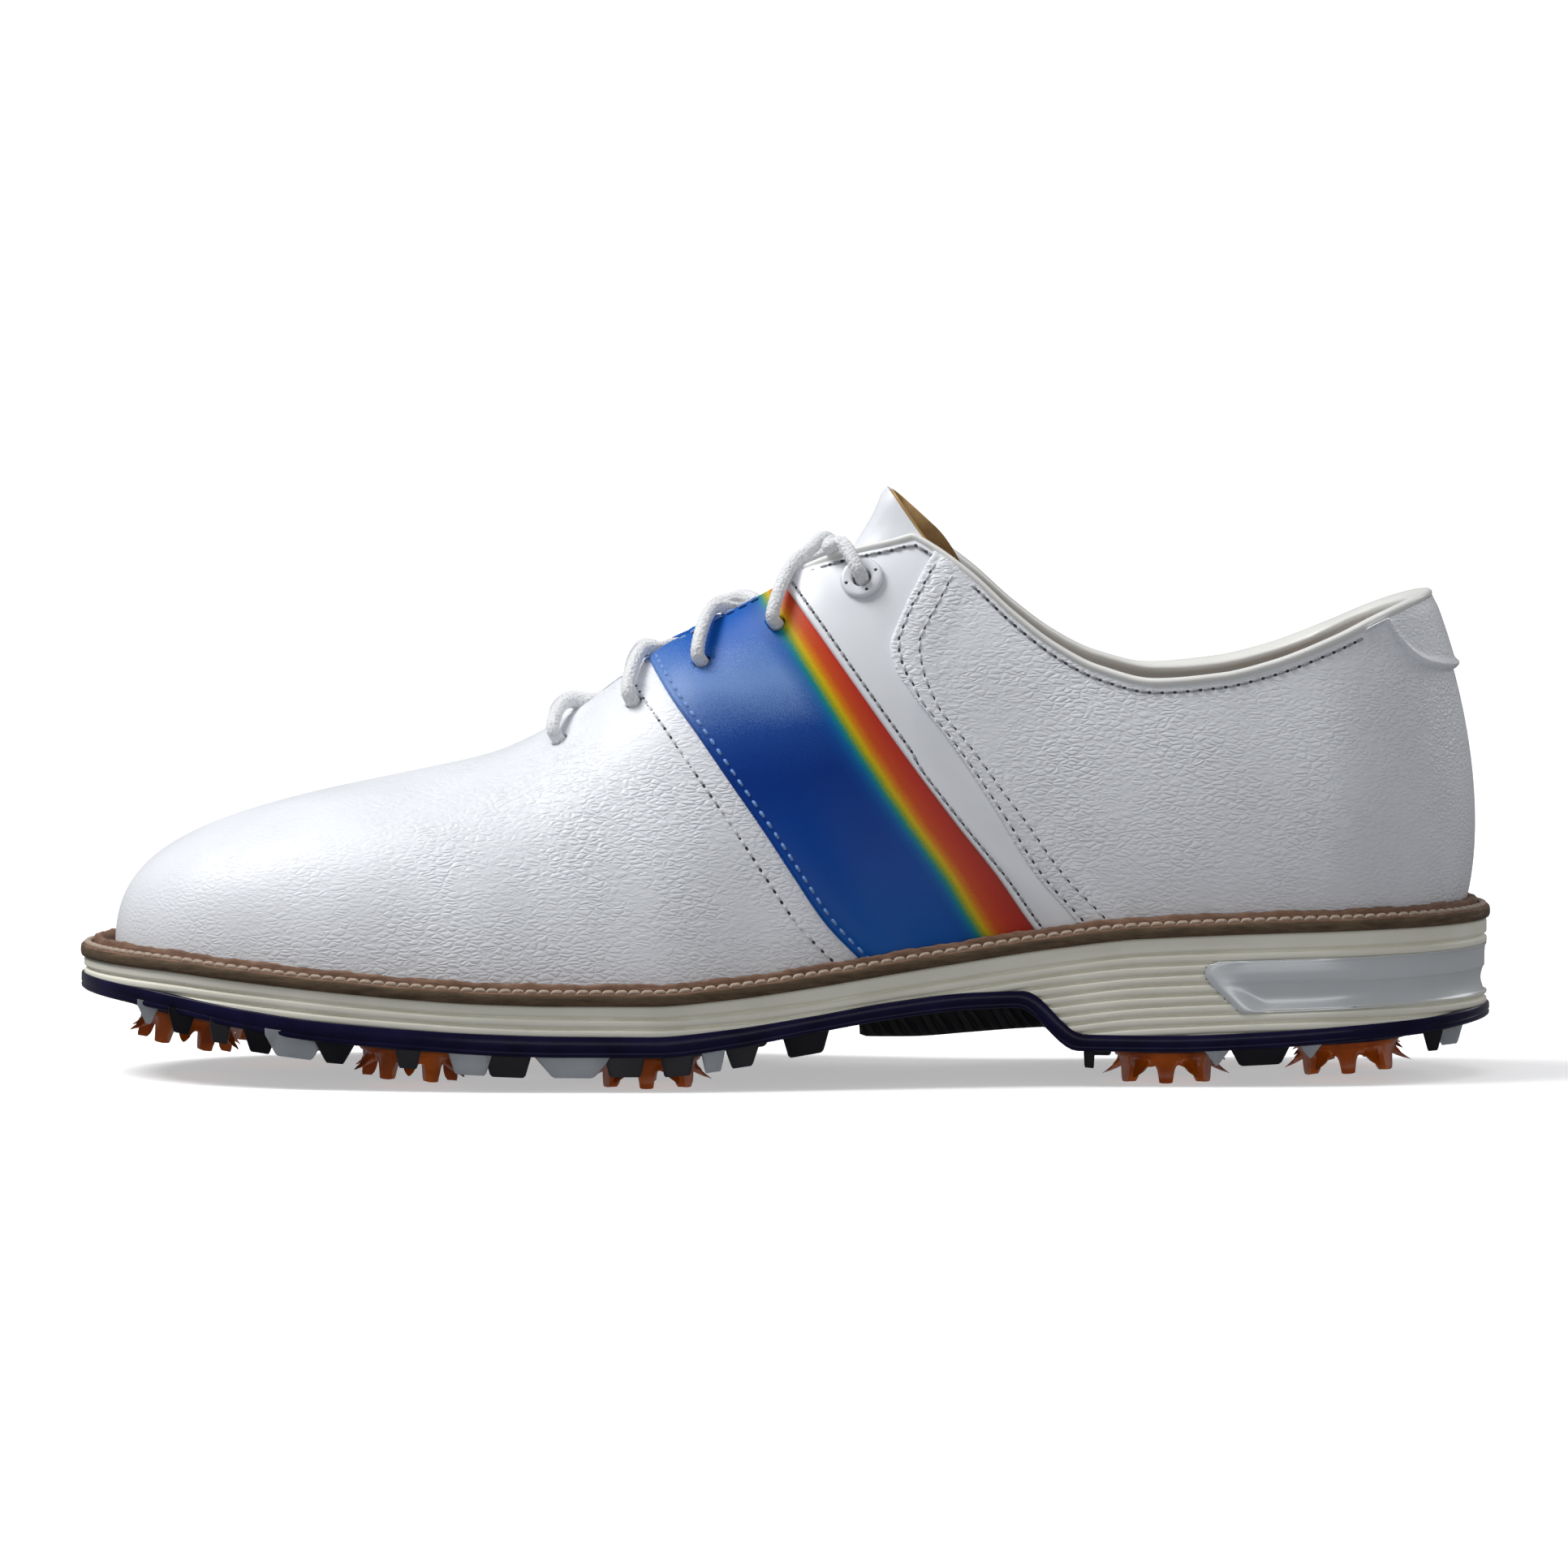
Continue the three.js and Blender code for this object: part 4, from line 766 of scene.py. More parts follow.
MATERIALS = {
    "pebbled": leather_white("white_pebbled_leather", True),
    "smooth": leather_white("white_smooth_leather", False),
    "piping": leather_white("white_piping", False, (0.80, 0.80, 0.77)),
    "blue": leather_blue(),
    "lining": lining_leather(),
    "welt_rim": welt_leather("welt_rim", (0.10, 0.05, 0.03), (0.27, 0.155, 0.10)),
    "welt_edge": welt_leather("welt_edge", (0.055, 0.034, 0.018), (0.16, 0.108, 0.062)),
    "midsole": plain("cream_midsole", (0.80, 0.78, 0.67), (0.88, 0.86, 0.75), 0.55),
    "insert": plain(
        "silver_insert", (0.60, 0.63, 0.65), (0.67, 0.70, 0.72), 0.32, 25.0,
        (300.0, 0.06, 0.0002), Metallic=0.15, Coat_Weight=0.3,
    ),
    "navy": plain(
        "navy_outsole", (0.005, 0.004, 0.022), (0.01, 0.008, 0.042), 0.25, 130.0,
        (500.0, 0.15, 0.0002), Specular_IOR_Level=0.12,
    ),
    "lug_black": plain(
        "lug_black", (0.006, 0.006, 0.009), (0.014, 0.014, 0.018), 0.35, Specular_IOR_Level=0.15
    ),
    "lug_grey": plain(
        "lug_grey", (0.022, 0.022, 0.027), (0.04, 0.04, 0.047), 0.4, Specular_IOR_Level=0.2
    ),
    "lug_clear": translucent("lug_clear", (0.62, 0.66, 0.7), (0.72, 0.76, 0.8), 0.55, 0.2),
    "orange": translucent("cleat_orange", (0.30, 0.043, 0.002), (0.62, 0.13, 0.006), 0.12, 0.22),
    "arch": arch_streaks(),
    "lace": woven_lace(),
    "thread_grey": thread("thread_grey", (0.24, 0.25, 0.27), (0.42, 0.43, 0.45)),
    "thread_white": thread("thread_white", (0.6, 0.61, 0.64), (0.75, 0.76, 0.78)),
    "thread_blue": thread("thread_blue", (0.08, 0.2, 0.5), (0.25, 0.42, 0.75)),
    "thread_tan": thread("thread_tan", (0.30, 0.22, 0.16), (0.46, 0.36, 0.28)),
    # Near-black for the needle and pin holes: painted shade.
    "hole_shade": plain("needle_hole_shade", (0.03, 0.03, 0.035), (0.06, 0.06, 0.07), 0.9),
    "eyelet": plain("white_eyelet", (0.72, 0.74, 0.78), (0.8, 0.82, 0.85), 0.25, Coat_Weight=0.3),
    "stiffener": plain("stiffener", (0.55, 0.52, 0.45), (0.65, 0.62, 0.55), 0.9),
    "board": plain("insole_board", (0.4, 0.3, 0.18), (0.52, 0.41, 0.27), 0.9),
    "cork": plain("cork", (0.3, 0.17, 0.07), (0.55, 0.36, 0.19), 0.95, 400.0),
    "steel": plain("steel", (0.5, 0.5, 0.5), (0.6, 0.6, 0.6), 0.3, Metallic=1.0),
    "nylon": plain("socket_black", (0.02, 0.02, 0.02), (0.04, 0.04, 0.04), 0.5),
    "footbed": plain(
        "footbed_fabric", (0.05, 0.055, 0.065), (0.09, 0.095, 0.11), 0.9, 500.0,
        (1800.0, 0.6, 0.0004), Sheen_Weight=0.3,
    ),
}


def finish_piece(piece, material, body="shoe", replaces=()):
    piece.data.materials.clear()
    piece.data.materials.append(MATERIALS[material])
    if replaces:
        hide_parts(*replaces)
    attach(piece, body)
    return piece


# ------------------------------------------------------------------ upper
SIDES = (("outer", -1), ("inner", 1))
BEHIND_LEATHER = -LEATHER - LAYER_GAP
BEHIND_STIFFENER = BEHIND_LEATHER - STIFFENER - LAYER_GAP
lining_face = through([
    (-152, BEHIND_STIFFENER), (-98, BEHIND_STIFFENER), (-84, BEHIND_LEATHER),
    (70, BEHIND_LEATHER), (92, BEHIND_STIFFENER), (152, BEHIND_STIFFENER),
])
STEP_UP = 0.8  # how far an overlapping edge stands over the panel below
EDGE_ROUND = 0.7
UNDERLAP = 4.0
ROWS = 96
SKEW = 1.25  # a seam crosses the rows at a slant, so distances along a row are longer


def rows_up(count=ROWS, high=1.0):
    """Shares of the way up, closer together near the top edge."""
    even = np.linspace(0, 1, count)
    return high * (1 - (1 - even) ** 1.12)


def places_along(first, last, b, distances):
    """For each row the angles s at given distances, in mm, behind its first end."""
    fine = np.linspace(0, 1, 260)
    s = first[:, None] + (last - first)[:, None] * fine
    p = last_point(s, b[:, None] * top_of(s))
    steps = np.linalg.norm(np.diff(p, axis=1), axis=-1)
    length = np.concatenate([np.zeros((len(b), 1)), np.cumsum(steps, 1)], 1)
    total = length[:, -1]
    rows = [np.interp(distances(total[k]), length[k], s[k]) for k in range(len(b))]
    return np.array(rows), total


NEAR_FRONT = np.array([
    0, 0.06, 0.2, 0.42, 0.7, 1.1, 1.5, 1.9, 2.3, 2.8, 3.6, 4.6, 5.4, 6.0, 6.6, 7.4, 8.6,
])
NEAR_BACK = np.array([0, 1.2, 2.4])


def columns_along(total, middle):
    """Distances along a row: close near both seams, even in the middle."""
    even = np.linspace(NEAR_FRONT[-1], total - NEAR_BACK[-1], middle + 2)[1:-1]
    return np.concatenate([NEAR_FRONT, even, total - NEAR_BACK[::-1]])


VALLEY_WIDTH = 0.55
VALLEY_DEPTH = 0.16


def valley(distance, centre):
    """The valley that a row of stitches pulls in."""
    return VALLEY_DEPTH * np.exp(-(((distance - centre * SKEW) / (VALLEY_WIDTH * SKEW)) ** 2))


def top_edge(b, s):
    """Distance in mm of each point below the upper's top edge."""
    t = top_of(s)
    p = last_point(s, t * b)
    q = last_point(s, t)
    return np.linalg.norm(p - q, axis=-1)


def panel_level(distance, stitch_rows):
    """Height over the last at a distance behind the panel's front edge."""
    cut = rounded(distance / (EDGE_ROUND * SKEW))
    level = STEP_UP * (1 - smooth(distance, 4, 14)) * cut - 0.25 * (1 - cut)
    for centre in stitch_rows:
        level = level - valley(distance, centre)
    return level


def build_panel(name, side, front, back, middle, stitch_rows, back_reach=3.0):
    """One side panel. Its front edge overlaps the panel ahead, and its back goes under the
    next one or, without a back seam, meets the other side's panel at the heel. Returns the
    piece and a line of points and normals for each stitch row."""
    b = rows_up()
    first = seam_angle(side, front, b)
    if back:
        last = seam_angle(side, back, b, UNDERLAP)
    else:
        last = np.full_like(b, side * (math.pi - 0.0005))
    s, total = places_along(first, last, b, lambda w: columns_along(w, middle))
    distance = np.array([columns_along(w, middle) for w in total])
    behind = total[:, None] - distance
    down = top_edge(b[:, None], s)
    level = panel_level(distance, stitch_rows)
    level = level - 0.5 * smooth(-behind, -back_reach, -back_reach + 1.5)
    level = level - 0.5 * (1 - rounded(down / EDGE_ROUND))
    t = top_of(s) * b[:, None]
    piece = between(name, surface(s, t, level), surface(s, t, -LEATHER + 0.1))
    lines = []
    for centre in stitch_rows:
        row_s = places_along(first, last, b, lambda w: np.array([centre * SKEW]))[0][:, 0]
        row_t = top_of(row_s) * b
        keep = b < 0.975
        row_level = float(panel_level(centre * SKEW, stitch_rows))
        points = surface(row_s, row_t, row_level)[keep]
        lines.append((points, last_normal(row_s, row_t)[keep]))
    return piece, lines


STITCH_PITCH = 2.7
STITCH_FILL = 0.66
STITCH_RADIUS = 0.29
STITCH_SINK = 0.03
STITCH_SHAPE = [(-1, 0.45, -1.5), (-0.72, 0.95, 0.1), (0, 1.0, 0.55), (0.72, 0.95, 0.1), (1, 0.45, -1.5)]
HOLE_SHADE_SIZE = 0.42


def stitch_template(half):
    """Points and faces of one stitch that bows out of the leather and dips in at its ends."""
    points = []
    for place, share, rise in STITCH_SHAPE:
        for turn in full_turn(6):
            points.append((
                place * half,
                STITCH_RADIUS * share * math.cos(turn) * 1.15,
                STITCH_RADIUS * share * math.sin(turn) + rise * STITCH_RADIUS * 0.5 + STITCH_SINK,
            ))
    return points, grid_faces(5, 6, closed=True) + [list(range(6)), list(range(24, 30))]


def stitches(name, line, normals, material, holes=True):
    """A row of thread stitches along a line on the surface, with dark discs at the needle holes as painted
    shade.
    """
    length = travelled(line)
    count = max(int(length[-1] / STITCH_PITCH), 1)
    marks = np.linspace(0, length[-1], count + 1)
    ends, up = at_marks(marks, length, line), at_marks(marks, length, normals)
    start, end = ends[:-1], ends[1:]
    up = unit(up[:-1] + up[1:])
    along = unit(end - start)
    up = unit(up - along * (up * along).sum(-1, keepdims=True))
    frames = np.stack([along, np.cross(up, along), up], 1)
    half = np.linalg.norm(end - start, axis=1).mean() * STITCH_FILL / 2
    row = repeated(name, *stitch_template(half), (start + end) / 2, frames)
    finish_piece(row, material)
    if holes:
        # Dark discs at the needle holes: painted shade in the holes.
        disc = [(HOLE_SHADE_SIZE * math.cos(a) * 1.25, HOLE_SHADE_SIZE * math.sin(a) * 0.8, 0.0) for a in full_turn(6)]
        disc += [(x * 0.9, y * 0.9, -0.3) for x, y, _ in disc]
        faces = [[i, (i + 1) % 6, 6 + (i + 1) % 6, 6 + i] for i in range(6)]
        faces += [list(range(6)), list(range(6, 12))]
        dots = repeated(name + "_hole_shade", disc, faces, start + up * 0.035, frames)
        finish_piece(dots, "hole_shade")


def seam_line(side, seam, behind, level):
    """Points and normals of a line on the surface, at a distance behind a seam."""
    b = np.linspace(0.0, 0.985, 150)
    s = seam_angle(side, seam, b, behind * SKEW)
    t = top_of(s) * b
    return surface(s, t, level), last_normal(s, t)


def top_line(side, from_x, to_x, down, level):
    """Points and normals of a line on the surface, at a distance below the top edge."""
    s = side * np.linspace(float(angle_at(from_x)), float(angle_at(to_x)), 120)
    t = top_of(s)
    speed = np.linalg.norm(last_point(s, t) - last_point(s, t - 0.01), axis=-1) / 0.01
    t = t - down / speed
    return surface(s, t, level), last_normal(s, t)


# Distances of the stitch rows, in mm, behind their panel's front edge.
QUARTER_ROWS = (1.5, 5.2)
SADDLE_ROWS = (1.5,)
EYESTAY_ROWS = (1.5,)
VAMP_ROW = 4.8  # ahead of the saddle's front edge
HOLE_RADIUS = 1.95
RING_HOLE_RADIUS = 2.6


def punch(piece, side, rows):
    """Punch the eyelet holes of some rows through a panel."""
    pins = []
    for row in rows:
        s, t = SEATS[side][row]
        radius = RING_HOLE_RADIUS if row == 0 else HOLE_RADIUS
        pins.append(pin(radius, -8, 2.6, 28, last_point(s, t), axes_for(last_normal(s, t))))
    cut_away(piece, make_mesh("pins", *joined(pins)))


def at_throat(a):
    return ridge_x(edge(a)[..., 0]) > THROAT_START


def vamp():
    ahead_columns, free = 110, 26
    throat = float(bisect(angle_at(-90), angle_at(-20), at_throat))
    b = rows_up()
    halves = []
    for side in (-1, 1):
        end = np.abs(seam_angle(side, saddle_front, b, 6.0))
        fixed = np.linspace(0, throat, ahead_columns + 1)
        rest = throat + (end - throat)[:, None] * np.linspace(0, 1, free + 1)[1:]
        a = np.concatenate([np.broadcast_to(fixed, (ROWS, ahead_columns + 1)), rest], 1)
        s = side * a
        top = np.where(a <= throat + 1e-9, 1.0, np.minimum(top_of(s), 0.9995))
        t = top * b[:, None]
        halves.append((s, t, top))
    s, t, top = (
        np.concatenate([left[:, ::-1], right[:, 1:]], 1) for left, right in zip(*halves)
    )
    open_edge = (top < 1).astype(float)
    p = last_point(s, t)
    gap = np.linalg.norm(p - last_point(s, top), axis=-1)
    level = -0.5 * (1 - rounded(gap / EDGE_ROUND)) * open_edge
    ahead = (saddle_front(p[..., 2]) - p[..., 0]) / SKEW
    level = level - valley(ahead, VAMP_ROW) - 0.45 * smooth(ahead, 0.6, -1.5)
    outer = surface(s, t, level)
    inner = surface(s, t, -LEATHER + 0.1)
    piece = between("vamp_leather", outer, inner, welded=(free, free + 2 * ahead_columns))
    for _, side in SIDES:
        punch(piece, side, (3, 4))
    return finish_piece(piece, "pebbled", replaces=("vamp",))


def side_panels(name, side):
    saddle, lines = build_panel(
        "saddle_leather_" + name, side, saddle_front, saddle_rear, 16, SADDLE_ROWS
    )
    punch(saddle, side, (1, 2))
    paint_band(saddle)
    finish_piece(saddle, "blue", replaces=("saddle_" + name,))
    stitches("saddle_front_stitches_" + name, *lines[0], "thread_blue", holes=False)
    eyestay, lines = build_panel(
        "eyestay_leather_" + name, side, saddle_rear, quarter_front, 8, EYESTAY_ROWS
    )
    punch(eyestay, side, (0,))
    finish_piece(eyestay, "smooth", replaces=("eyestay_" + name,))
    stitches("eyestay_stitches_" + name, *lines[0], "thread_grey")
    quarter, lines = build_panel(
        "quarter_leather_" + name, side, quarter_front, None, 110, QUARTER_ROWS, -5.0
    )
    finish_piece(quarter, "pebbled", replaces=("quarter_" + name,))
    for number, line in enumerate(lines):
        stitches(f"quarter_stitches_{number}_{name}", *line, "thread_white")


def edge_stitching(name, side):
    vamp_line = seam_line(side, saddle_front, -VAMP_ROW, -0.06)
    stitches("vamp_stitches_" + name, *vamp_line, "thread_white")
    for kind, line, material, holes in (
        ("facing", (0, 33, 1.6, 0.3), "thread_grey", True),
        ("saddle_top", (-31, -5, 1.3, 0.35), "thread_blue", False),
        ("topline", (40, 129.5, 1.7, 0.04), "thread_grey", True),
    ):
        stitches(f"{kind}_stitches_{name}", *top_line(side, *line), material, holes)


def rear_lining():
    b = rows_up(48, 0.976)
    halves = []
    for side in (-1, 1):
        first = seam_angle(side, saddle_front, b, 0.3)
        last = np.full_like(b, side * math.pi)
        halves.append(places_along(first, last, b, lambda w: np.linspace(0, w, 70))[0])
    s = np.concatenate([halves[0], halves[1][:, -2::-1]], 1)
    t = top_of(s) * b[:, None]
    face = lining_face(last_point(s, t)[..., 0])
    piece = between("rear_lining_leather", surface(s, t, face), surface(s, t, face - LINING))
    finish_piece(piece, "lining", replaces=("rear_lining",))


def heel_angles(from_x, count):
    """Angles s from one side round the back of the heel to the other."""
    start = float(angle_at(from_x))
    return wrap(np.linspace(start, 2 * math.pi - start, count))


BINDING_START = 4.0
ROLL = [(-0.5, -0.2), (-0.15, 0.3), (0.28, 0.55), (0.6, 1.0), (0.62, 1.5), (0.35, 2.0), (-0.3, 2.3)]
OVER_THE_LINING = [(0.35, 2.3), (0.7, 2.15), (0.92, 1.9), (1.0, 1.4), (1.0, 0.3), (1.0, -1.6)]


def binding():
    """The rolled piping that caps the topline, from one eyestay round to the other."""
    count = 460
    end, start = (
        float(side * seam_angle(side, lambda z: BINDING_START + 0 * z, np.array([1.0]))[0])
        for side in (1, -1)
    )
    s = wrap(np.linspace(end, 2 * math.pi - start, count))
    top = top_of(s)
    rim = last_point(s, top)
    step = np.linalg.norm(last_point(s, top + 0.01) - rim, axis=-1) / 0.01
    inside = lining_face(rim[..., 0]) - LINING - 0.35
    thick = 0.32 + 0.3 * smooth(rim[..., 0], 70, 130)
    columns = [(share * (0.7 + thick), rise * (0.75 + thick * 0.5)) for share, rise in ROLL]
    columns += [(inside * share, rise) for share, rise in OVER_THE_LINING]
    columns += [(inside + 0.5, -1.6), (-0.9, -0.6)]
    grid = np.stack([surface(s, top + (rise - 0.55) / step, out) for out, rise in columns], 1)
    around = grid.shape[1]
    faces = grid_faces(count, around, closed=True)
    faces += [list(range(around)), [(count - 1) * around + i for i in range(around)]]
    piece = make_mesh("topline_piping", grid.reshape(-1, 3), faces, 50)
    finish_piece(piece, "piping", replaces=("topline_binding",))


def heel_tab():
    count, rows = 130, 34
    s = heel_angles(129.7, count)
    top = top_of(s)

    def over_edge(t):
        p = last_point(s, t)
        return p[..., 2] > heel_tab_edge(p[..., 0])

    low = np.minimum(bisect(np.full(count, 0.1), top, over_edge), top * 0.988)
    share = np.linspace(0, 1, rows)[:, None] ** 1.3
    t = mix(low, top, share)
    p = last_point(s, t)
    from_low = np.linalg.norm(p - last_point(s, low), axis=-1)
    start, end = p[:, :1], p[:, -1:]
    from_end = np.minimum(np.linalg.norm(p - start, axis=-1), np.linalg.norm(p - end, axis=-1))
    edge_distance = np.minimum(from_low, from_end)
    level = -0.1 + rounded(edge_distance / 1.1) + 0.75 * np.exp(-(((from_low - 1.1) / 0.9) ** 2))
    level = level * (1 - 0.3 * smooth(share, 0.8, 1))
    piece = between("heel_tab_leather", surface(s, t, level), surface(s, t, -0.6))
    finish_piece(piece, "pebbled", replaces=("heel_tab",))


# ------------------------------------------------------------------ tongue
TONGUE_DEPTH = -LEATHER - LAYER_GAP - LINING - 2 * LACE_RADIUS - 1.1
TONGUE_START = -57.0
TONGUE_END = 21.6
SQUARE_TO_RIDGE = np.array([0.66, -0.75])
tongue_reach = through([(-57, 11), (-30, 17), (0, 22), (22, 26.5)])
tongue_flare = through([
    (-57, TONGUE_DEPTH - 1.4), (-25, TONGUE_DEPTH - 0.7), (8, TONGUE_DEPTH - 0.2), (15, -4.8),
    (22, 0.4),
])


def middle_point(x, height):
    """A point over the ridge."""
    slope = ridge_slope(x)
    normal = unit(np.stack([-slope, 0 * slope, 1 + 0 * slope], -1))
    at = np.stack([x, 0 * x, ridge_height(x)], -1)
    return at + normal * np.asarray(height)[..., None]


def tongue_seats(reach_past=0.0, rows=54, columns=18):
    """Places of the tongue's points on the last: rows from its root to its free end."""
    share = np.linspace(0, 1, columns + 1)[1:]
    seats = {}
    for side in (-1, 1):
        x = np.linspace(TONGUE_START, TONGUE_END + reach_past, rows)[:, None]
        skewed = 2.4 * np.sin(math.pi * share**1.4) * smooth(x, 5, 21) if side > 0 else 0 * share
        drop_x = SQUARE_TO_RIDGE[0] * tongue_reach(x) * share**2 + skewed
        drop_z = SQUARE_TO_RIDGE[1] * tongue_reach(x) * share**2 + 0.55 * skewed
        seats[side] = locate(side, x + drop_x, ridge_height(x) + drop_z)
    return seats, share


def tongue_grid(seats, share, depth, reach_past=0.0):
    rows = seats[-1][0].shape[0]
    x = np.linspace(TONGUE_START, TONGUE_END + reach_past, rows)
    flare = tongue_flare(np.minimum(x, 22))[:, None]
    height = mix(flare, TONGUE_DEPTH - 0.8, smooth(share, 0, 0.6)) + depth
    halves = {side: surface(*seats[side], height) for side in (-1, 1)}
    middle = middle_point(x, tongue_flare(np.minimum(x, 22)) + depth[:, 0])[:, None]
    return np.concatenate([halves[-1][:, ::-1], middle, halves[1]], 1)


def tongue():
    for name, past, top, bottom, material, slot in (
        ("tongue", 0.0, 0.0, -1.5, "smooth", "white_smooth_leather"),
        ("tongue_lining", 0.5, -1.5, -2.8, "lining", "tan_lining"),
    ):
        seats, share = tongue_seats(past)
        rows = seats[-1][0].shape[0]
        ending = np.linspace(0, 1, rows)[:, None]
        to_end = (1 - ending) * (TONGUE_END - TONGUE_START)
        to_side = (1 - share**2) * 24
        rim = np.minimum(to_end, to_side)
        thinned = (top - bottom) / 2 * (1 - rounded(rim / 0.9))
        outer = tongue_grid(seats, share, top - 0.8 * thinned, past)
        inner = tongue_grid(seats, share, bottom + 0.2 * thinned, past)
        piece = between(name + "_sheet", outer, inner)
        finish_piece(piece, material, "tongue", replaces=(name,))


# ------------------------------------------------------------------ lace and eyelets
UNDER = -LEATHER - LAYER_GAP - LINING - LACE_RADIUS - 0.3
UNDER_STRAND = TONGUE_DEPTH + LACE_RADIUS + 0.3
OVER_STRAND = UNDER_STRAND + 2 * LACE_RADIUS + 0.4
BRAID_PITCH = 2.5
LACE_STEP = 0.34


def at_seat(side, row, distance):
    return surface(*SEATS[side][row], distance)


def throat_point(side, row, along, share, distance):
    """A point between two eyelets of one side: share 0 is the throat's edge, 1 the ridge."""
    s = mix(SEATS[side][row][0], SEATS[side][max(row - 1, 0)][0], along)
    return surface(s, mix(top_of(s), 1, share), distance)


def crossing(side, row, height):
    other = -side
    x = (last_point(*SEATS[side][row])[0] + last_point(*SEATS[other][row - 1])[0]) / 2
    return [
        at_seat(side, row, LACE_RADIUS + 1.2),
        throat_point(side, row, 0.2, -0.02, LACE_RADIUS + 0.9),
        throat_point(side, row, 0.35, 0.5, mix(height, LACE_RADIUS, 0.4)),
        middle_point(np.float64(x), height),
        throat_point(other, row, 0.6, 0.5, mix(height, UNDER - 0.4, 0.6)),
        throat_point(other, row, 0.75, 0, UNDER - 0.4),
        at_seat(other, row - 1, UNDER),
        at_seat(other, row - 1, -LEATHER),
    ]


def climb(side):
    """One half of the lace, from the lowest eyelet up to its tucked end."""
    route = []
    for row in range(len(EYELETS) - 1, 0, -1):
        over = (side > 0) == (row % 2 == 0)
        route += crossing(side, row, OVER_STRAND if over else UNDER_STRAND)
        side = -side
    top_s, below_s = SEATS[side][0][0], SEATS[side][1][0]
    tucked = mix(below_s, top_s, 0.5)
    over_edge = mix(top_s, tucked, 0.35)
    return route + [
        at_seat(side, 0, LACE_RADIUS + 2),
        surface(over_edge, top_of(tucked) * 0.97, 4.2),
        throat_point(side, 1, 0.66, 0.05, LACE_RADIUS + 1.2),
        throat_point(side, 1, 0.6, 0.4, -1.6),
        throat_point(side, 1, 0.55, 0.1, UNDER - 0.9),
        surface(tucked, top_of(tucked) * 0.92, UNDER - 0.6),
    ]


def lace_route():
    low = len(EYELETS) - 1
    bar = {side: [at_seat(side, low, -LEATHER), at_seat(side, low, UNDER)] for side in (-1, 1)}
    middle = middle_point(np.float64(EYELETS[low][0] + 4), UNDER_STRAND)
    route = climb(-1)[::-1] + bar[-1] + [middle] + bar[1][::-1] + climb(1)
    return np.array(route)


def spline(points, spacing):
    """A centripetal curve through points, at even steps."""
    ends = [2 * points[0] - points[1], *points, 2 * points[-1] - points[-2]]
    fine = []
    for p0, p1, p2, p3 in zip(ends, ends[1:], ends[2:], ends[3:]):
        t1 = np.linalg.norm(p1 - p0) ** 0.5
        t2 = t1 + np.linalg.norm(p2 - p1) ** 0.5
        t3 = t2 + np.linalg.norm(p3 - p2) ** 0.5
        t = np.linspace(t1, t2, 24, endpoint=False)[:, None]
        a1 = p0 * (t1 - t) / t1 + p1 * t / t1
        a2 = p1 * (t2 - t) / (t2 - t1) + p2 * (t - t1) / (t2 - t1)
        a3 = p2 * (t3 - t) / (t3 - t2) + p3 * (t - t2) / (t3 - t2)
        b1 = a1 * (t2 - t) / t2 + a2 * t / t2
        b2 = a2 * (t3 - t) / (t3 - t1) + a3 * (t - t1) / (t3 - t1)
        fine.append(b1 * (t2 - t) / (t2 - t1) + b2 * (t - t1) / (t2 - t1))
    fine = np.concatenate([*fine, [points[-1]]])
    length = travelled(fine)
    return at_marks(np.linspace(0, length[-1], int(length[-1] / spacing)), length, fine)


def steady_normals(path):
    """Normals that turn as little as they can along a path."""
    along = unit(np.gradient(path, axis=0))
    normal = np.cross(along[0], [0.3, 0.9, 0.1])
    normals = []
    for direction in along:
        normal = normal - direction * normal.dot(direction)
        normal = normal / np.linalg.norm(normal)
        normals.append(normal)
    return np.array(normals)


def lace():
    path = spline(lace_route(), LACE_STEP)
    turn = full_turn(24)
    travel = np.arange(len(path))[:, None] * LACE_STEP * 2 * math.pi / BRAID_PITCH
    weave = np.cos(4 * turn + travel) * np.cos(4 * turn - travel)
    radius = LACE_RADIUS * (0.97 + 0.075 * weave)
    profile = np.stack([radius * np.cos(turn), radius * np.sin(turn)], -1)
    piece = sweep("lace_braid", path, profile, steady_normals(path), sharp_angle=80)
    finish_piece(piece, "lace", replaces=("lace",))


EYELET_SECTION = [
    (2.15, 0.7), (2.05, 0.2), (2.05, -3), (2.5, -3), (2.5, -0.2), (4.55, -0.1), (4.7, 0.3),
    (4.62, 0.75), (4.3, 1.05), (3.9, 1.12), (3.0, 1.1), (2.5, 1.0), (2.3, 0.9), (2.15, 0.7),
]
PIN_CIRCLE = 3.45


def eyelet_rings():
    for name, side in SIDES:
        s, t = SEATS[side][0]
        centre, axes = last_point(s, t), axes_for(last_normal(s, t))
        profile = [(r, h + STEP_UP * 0.35) for r, h in EYELET_SECTION]
        ring = make_mesh("eyelet_" + name, *lathe(profile, 56, centre, axes))
        pins, hole_shade_plugs = [], []
        for k in range(4):
            turn = math.radians(28 + 90 * k)
            place = (PIN_CIRCLE * math.cos(turn), PIN_CIRCLE * math.sin(turn), 0.85)
            points, faces = pin(0.36, 0, 1, 14, centre + np.array(place) @ axes, axes)
            pins.append((points, faces))
            middle = points.mean(0)
            # A dark plug sunk in each pin hole: painted shade.
            hole_shade_plugs.append((middle + (points - middle) * 0.92 - axes[2] * 0.42, faces))
        cut_away(ring, make_mesh("pins", *joined(pins)))
        finish_piece(ring, "eyelet", replaces=("eyelet_ring_" + name,))
        finish_piece(make_mesh("eyelet_pin_hole_shade_" + name, *joined(hole_shade_plugs)), "hole_shade")


# ------------------------------------------------------------------ sole
ARCH_CORNERS = [49.6, 51.1, 62.5, 63.7]
RING_STEP = 1.3


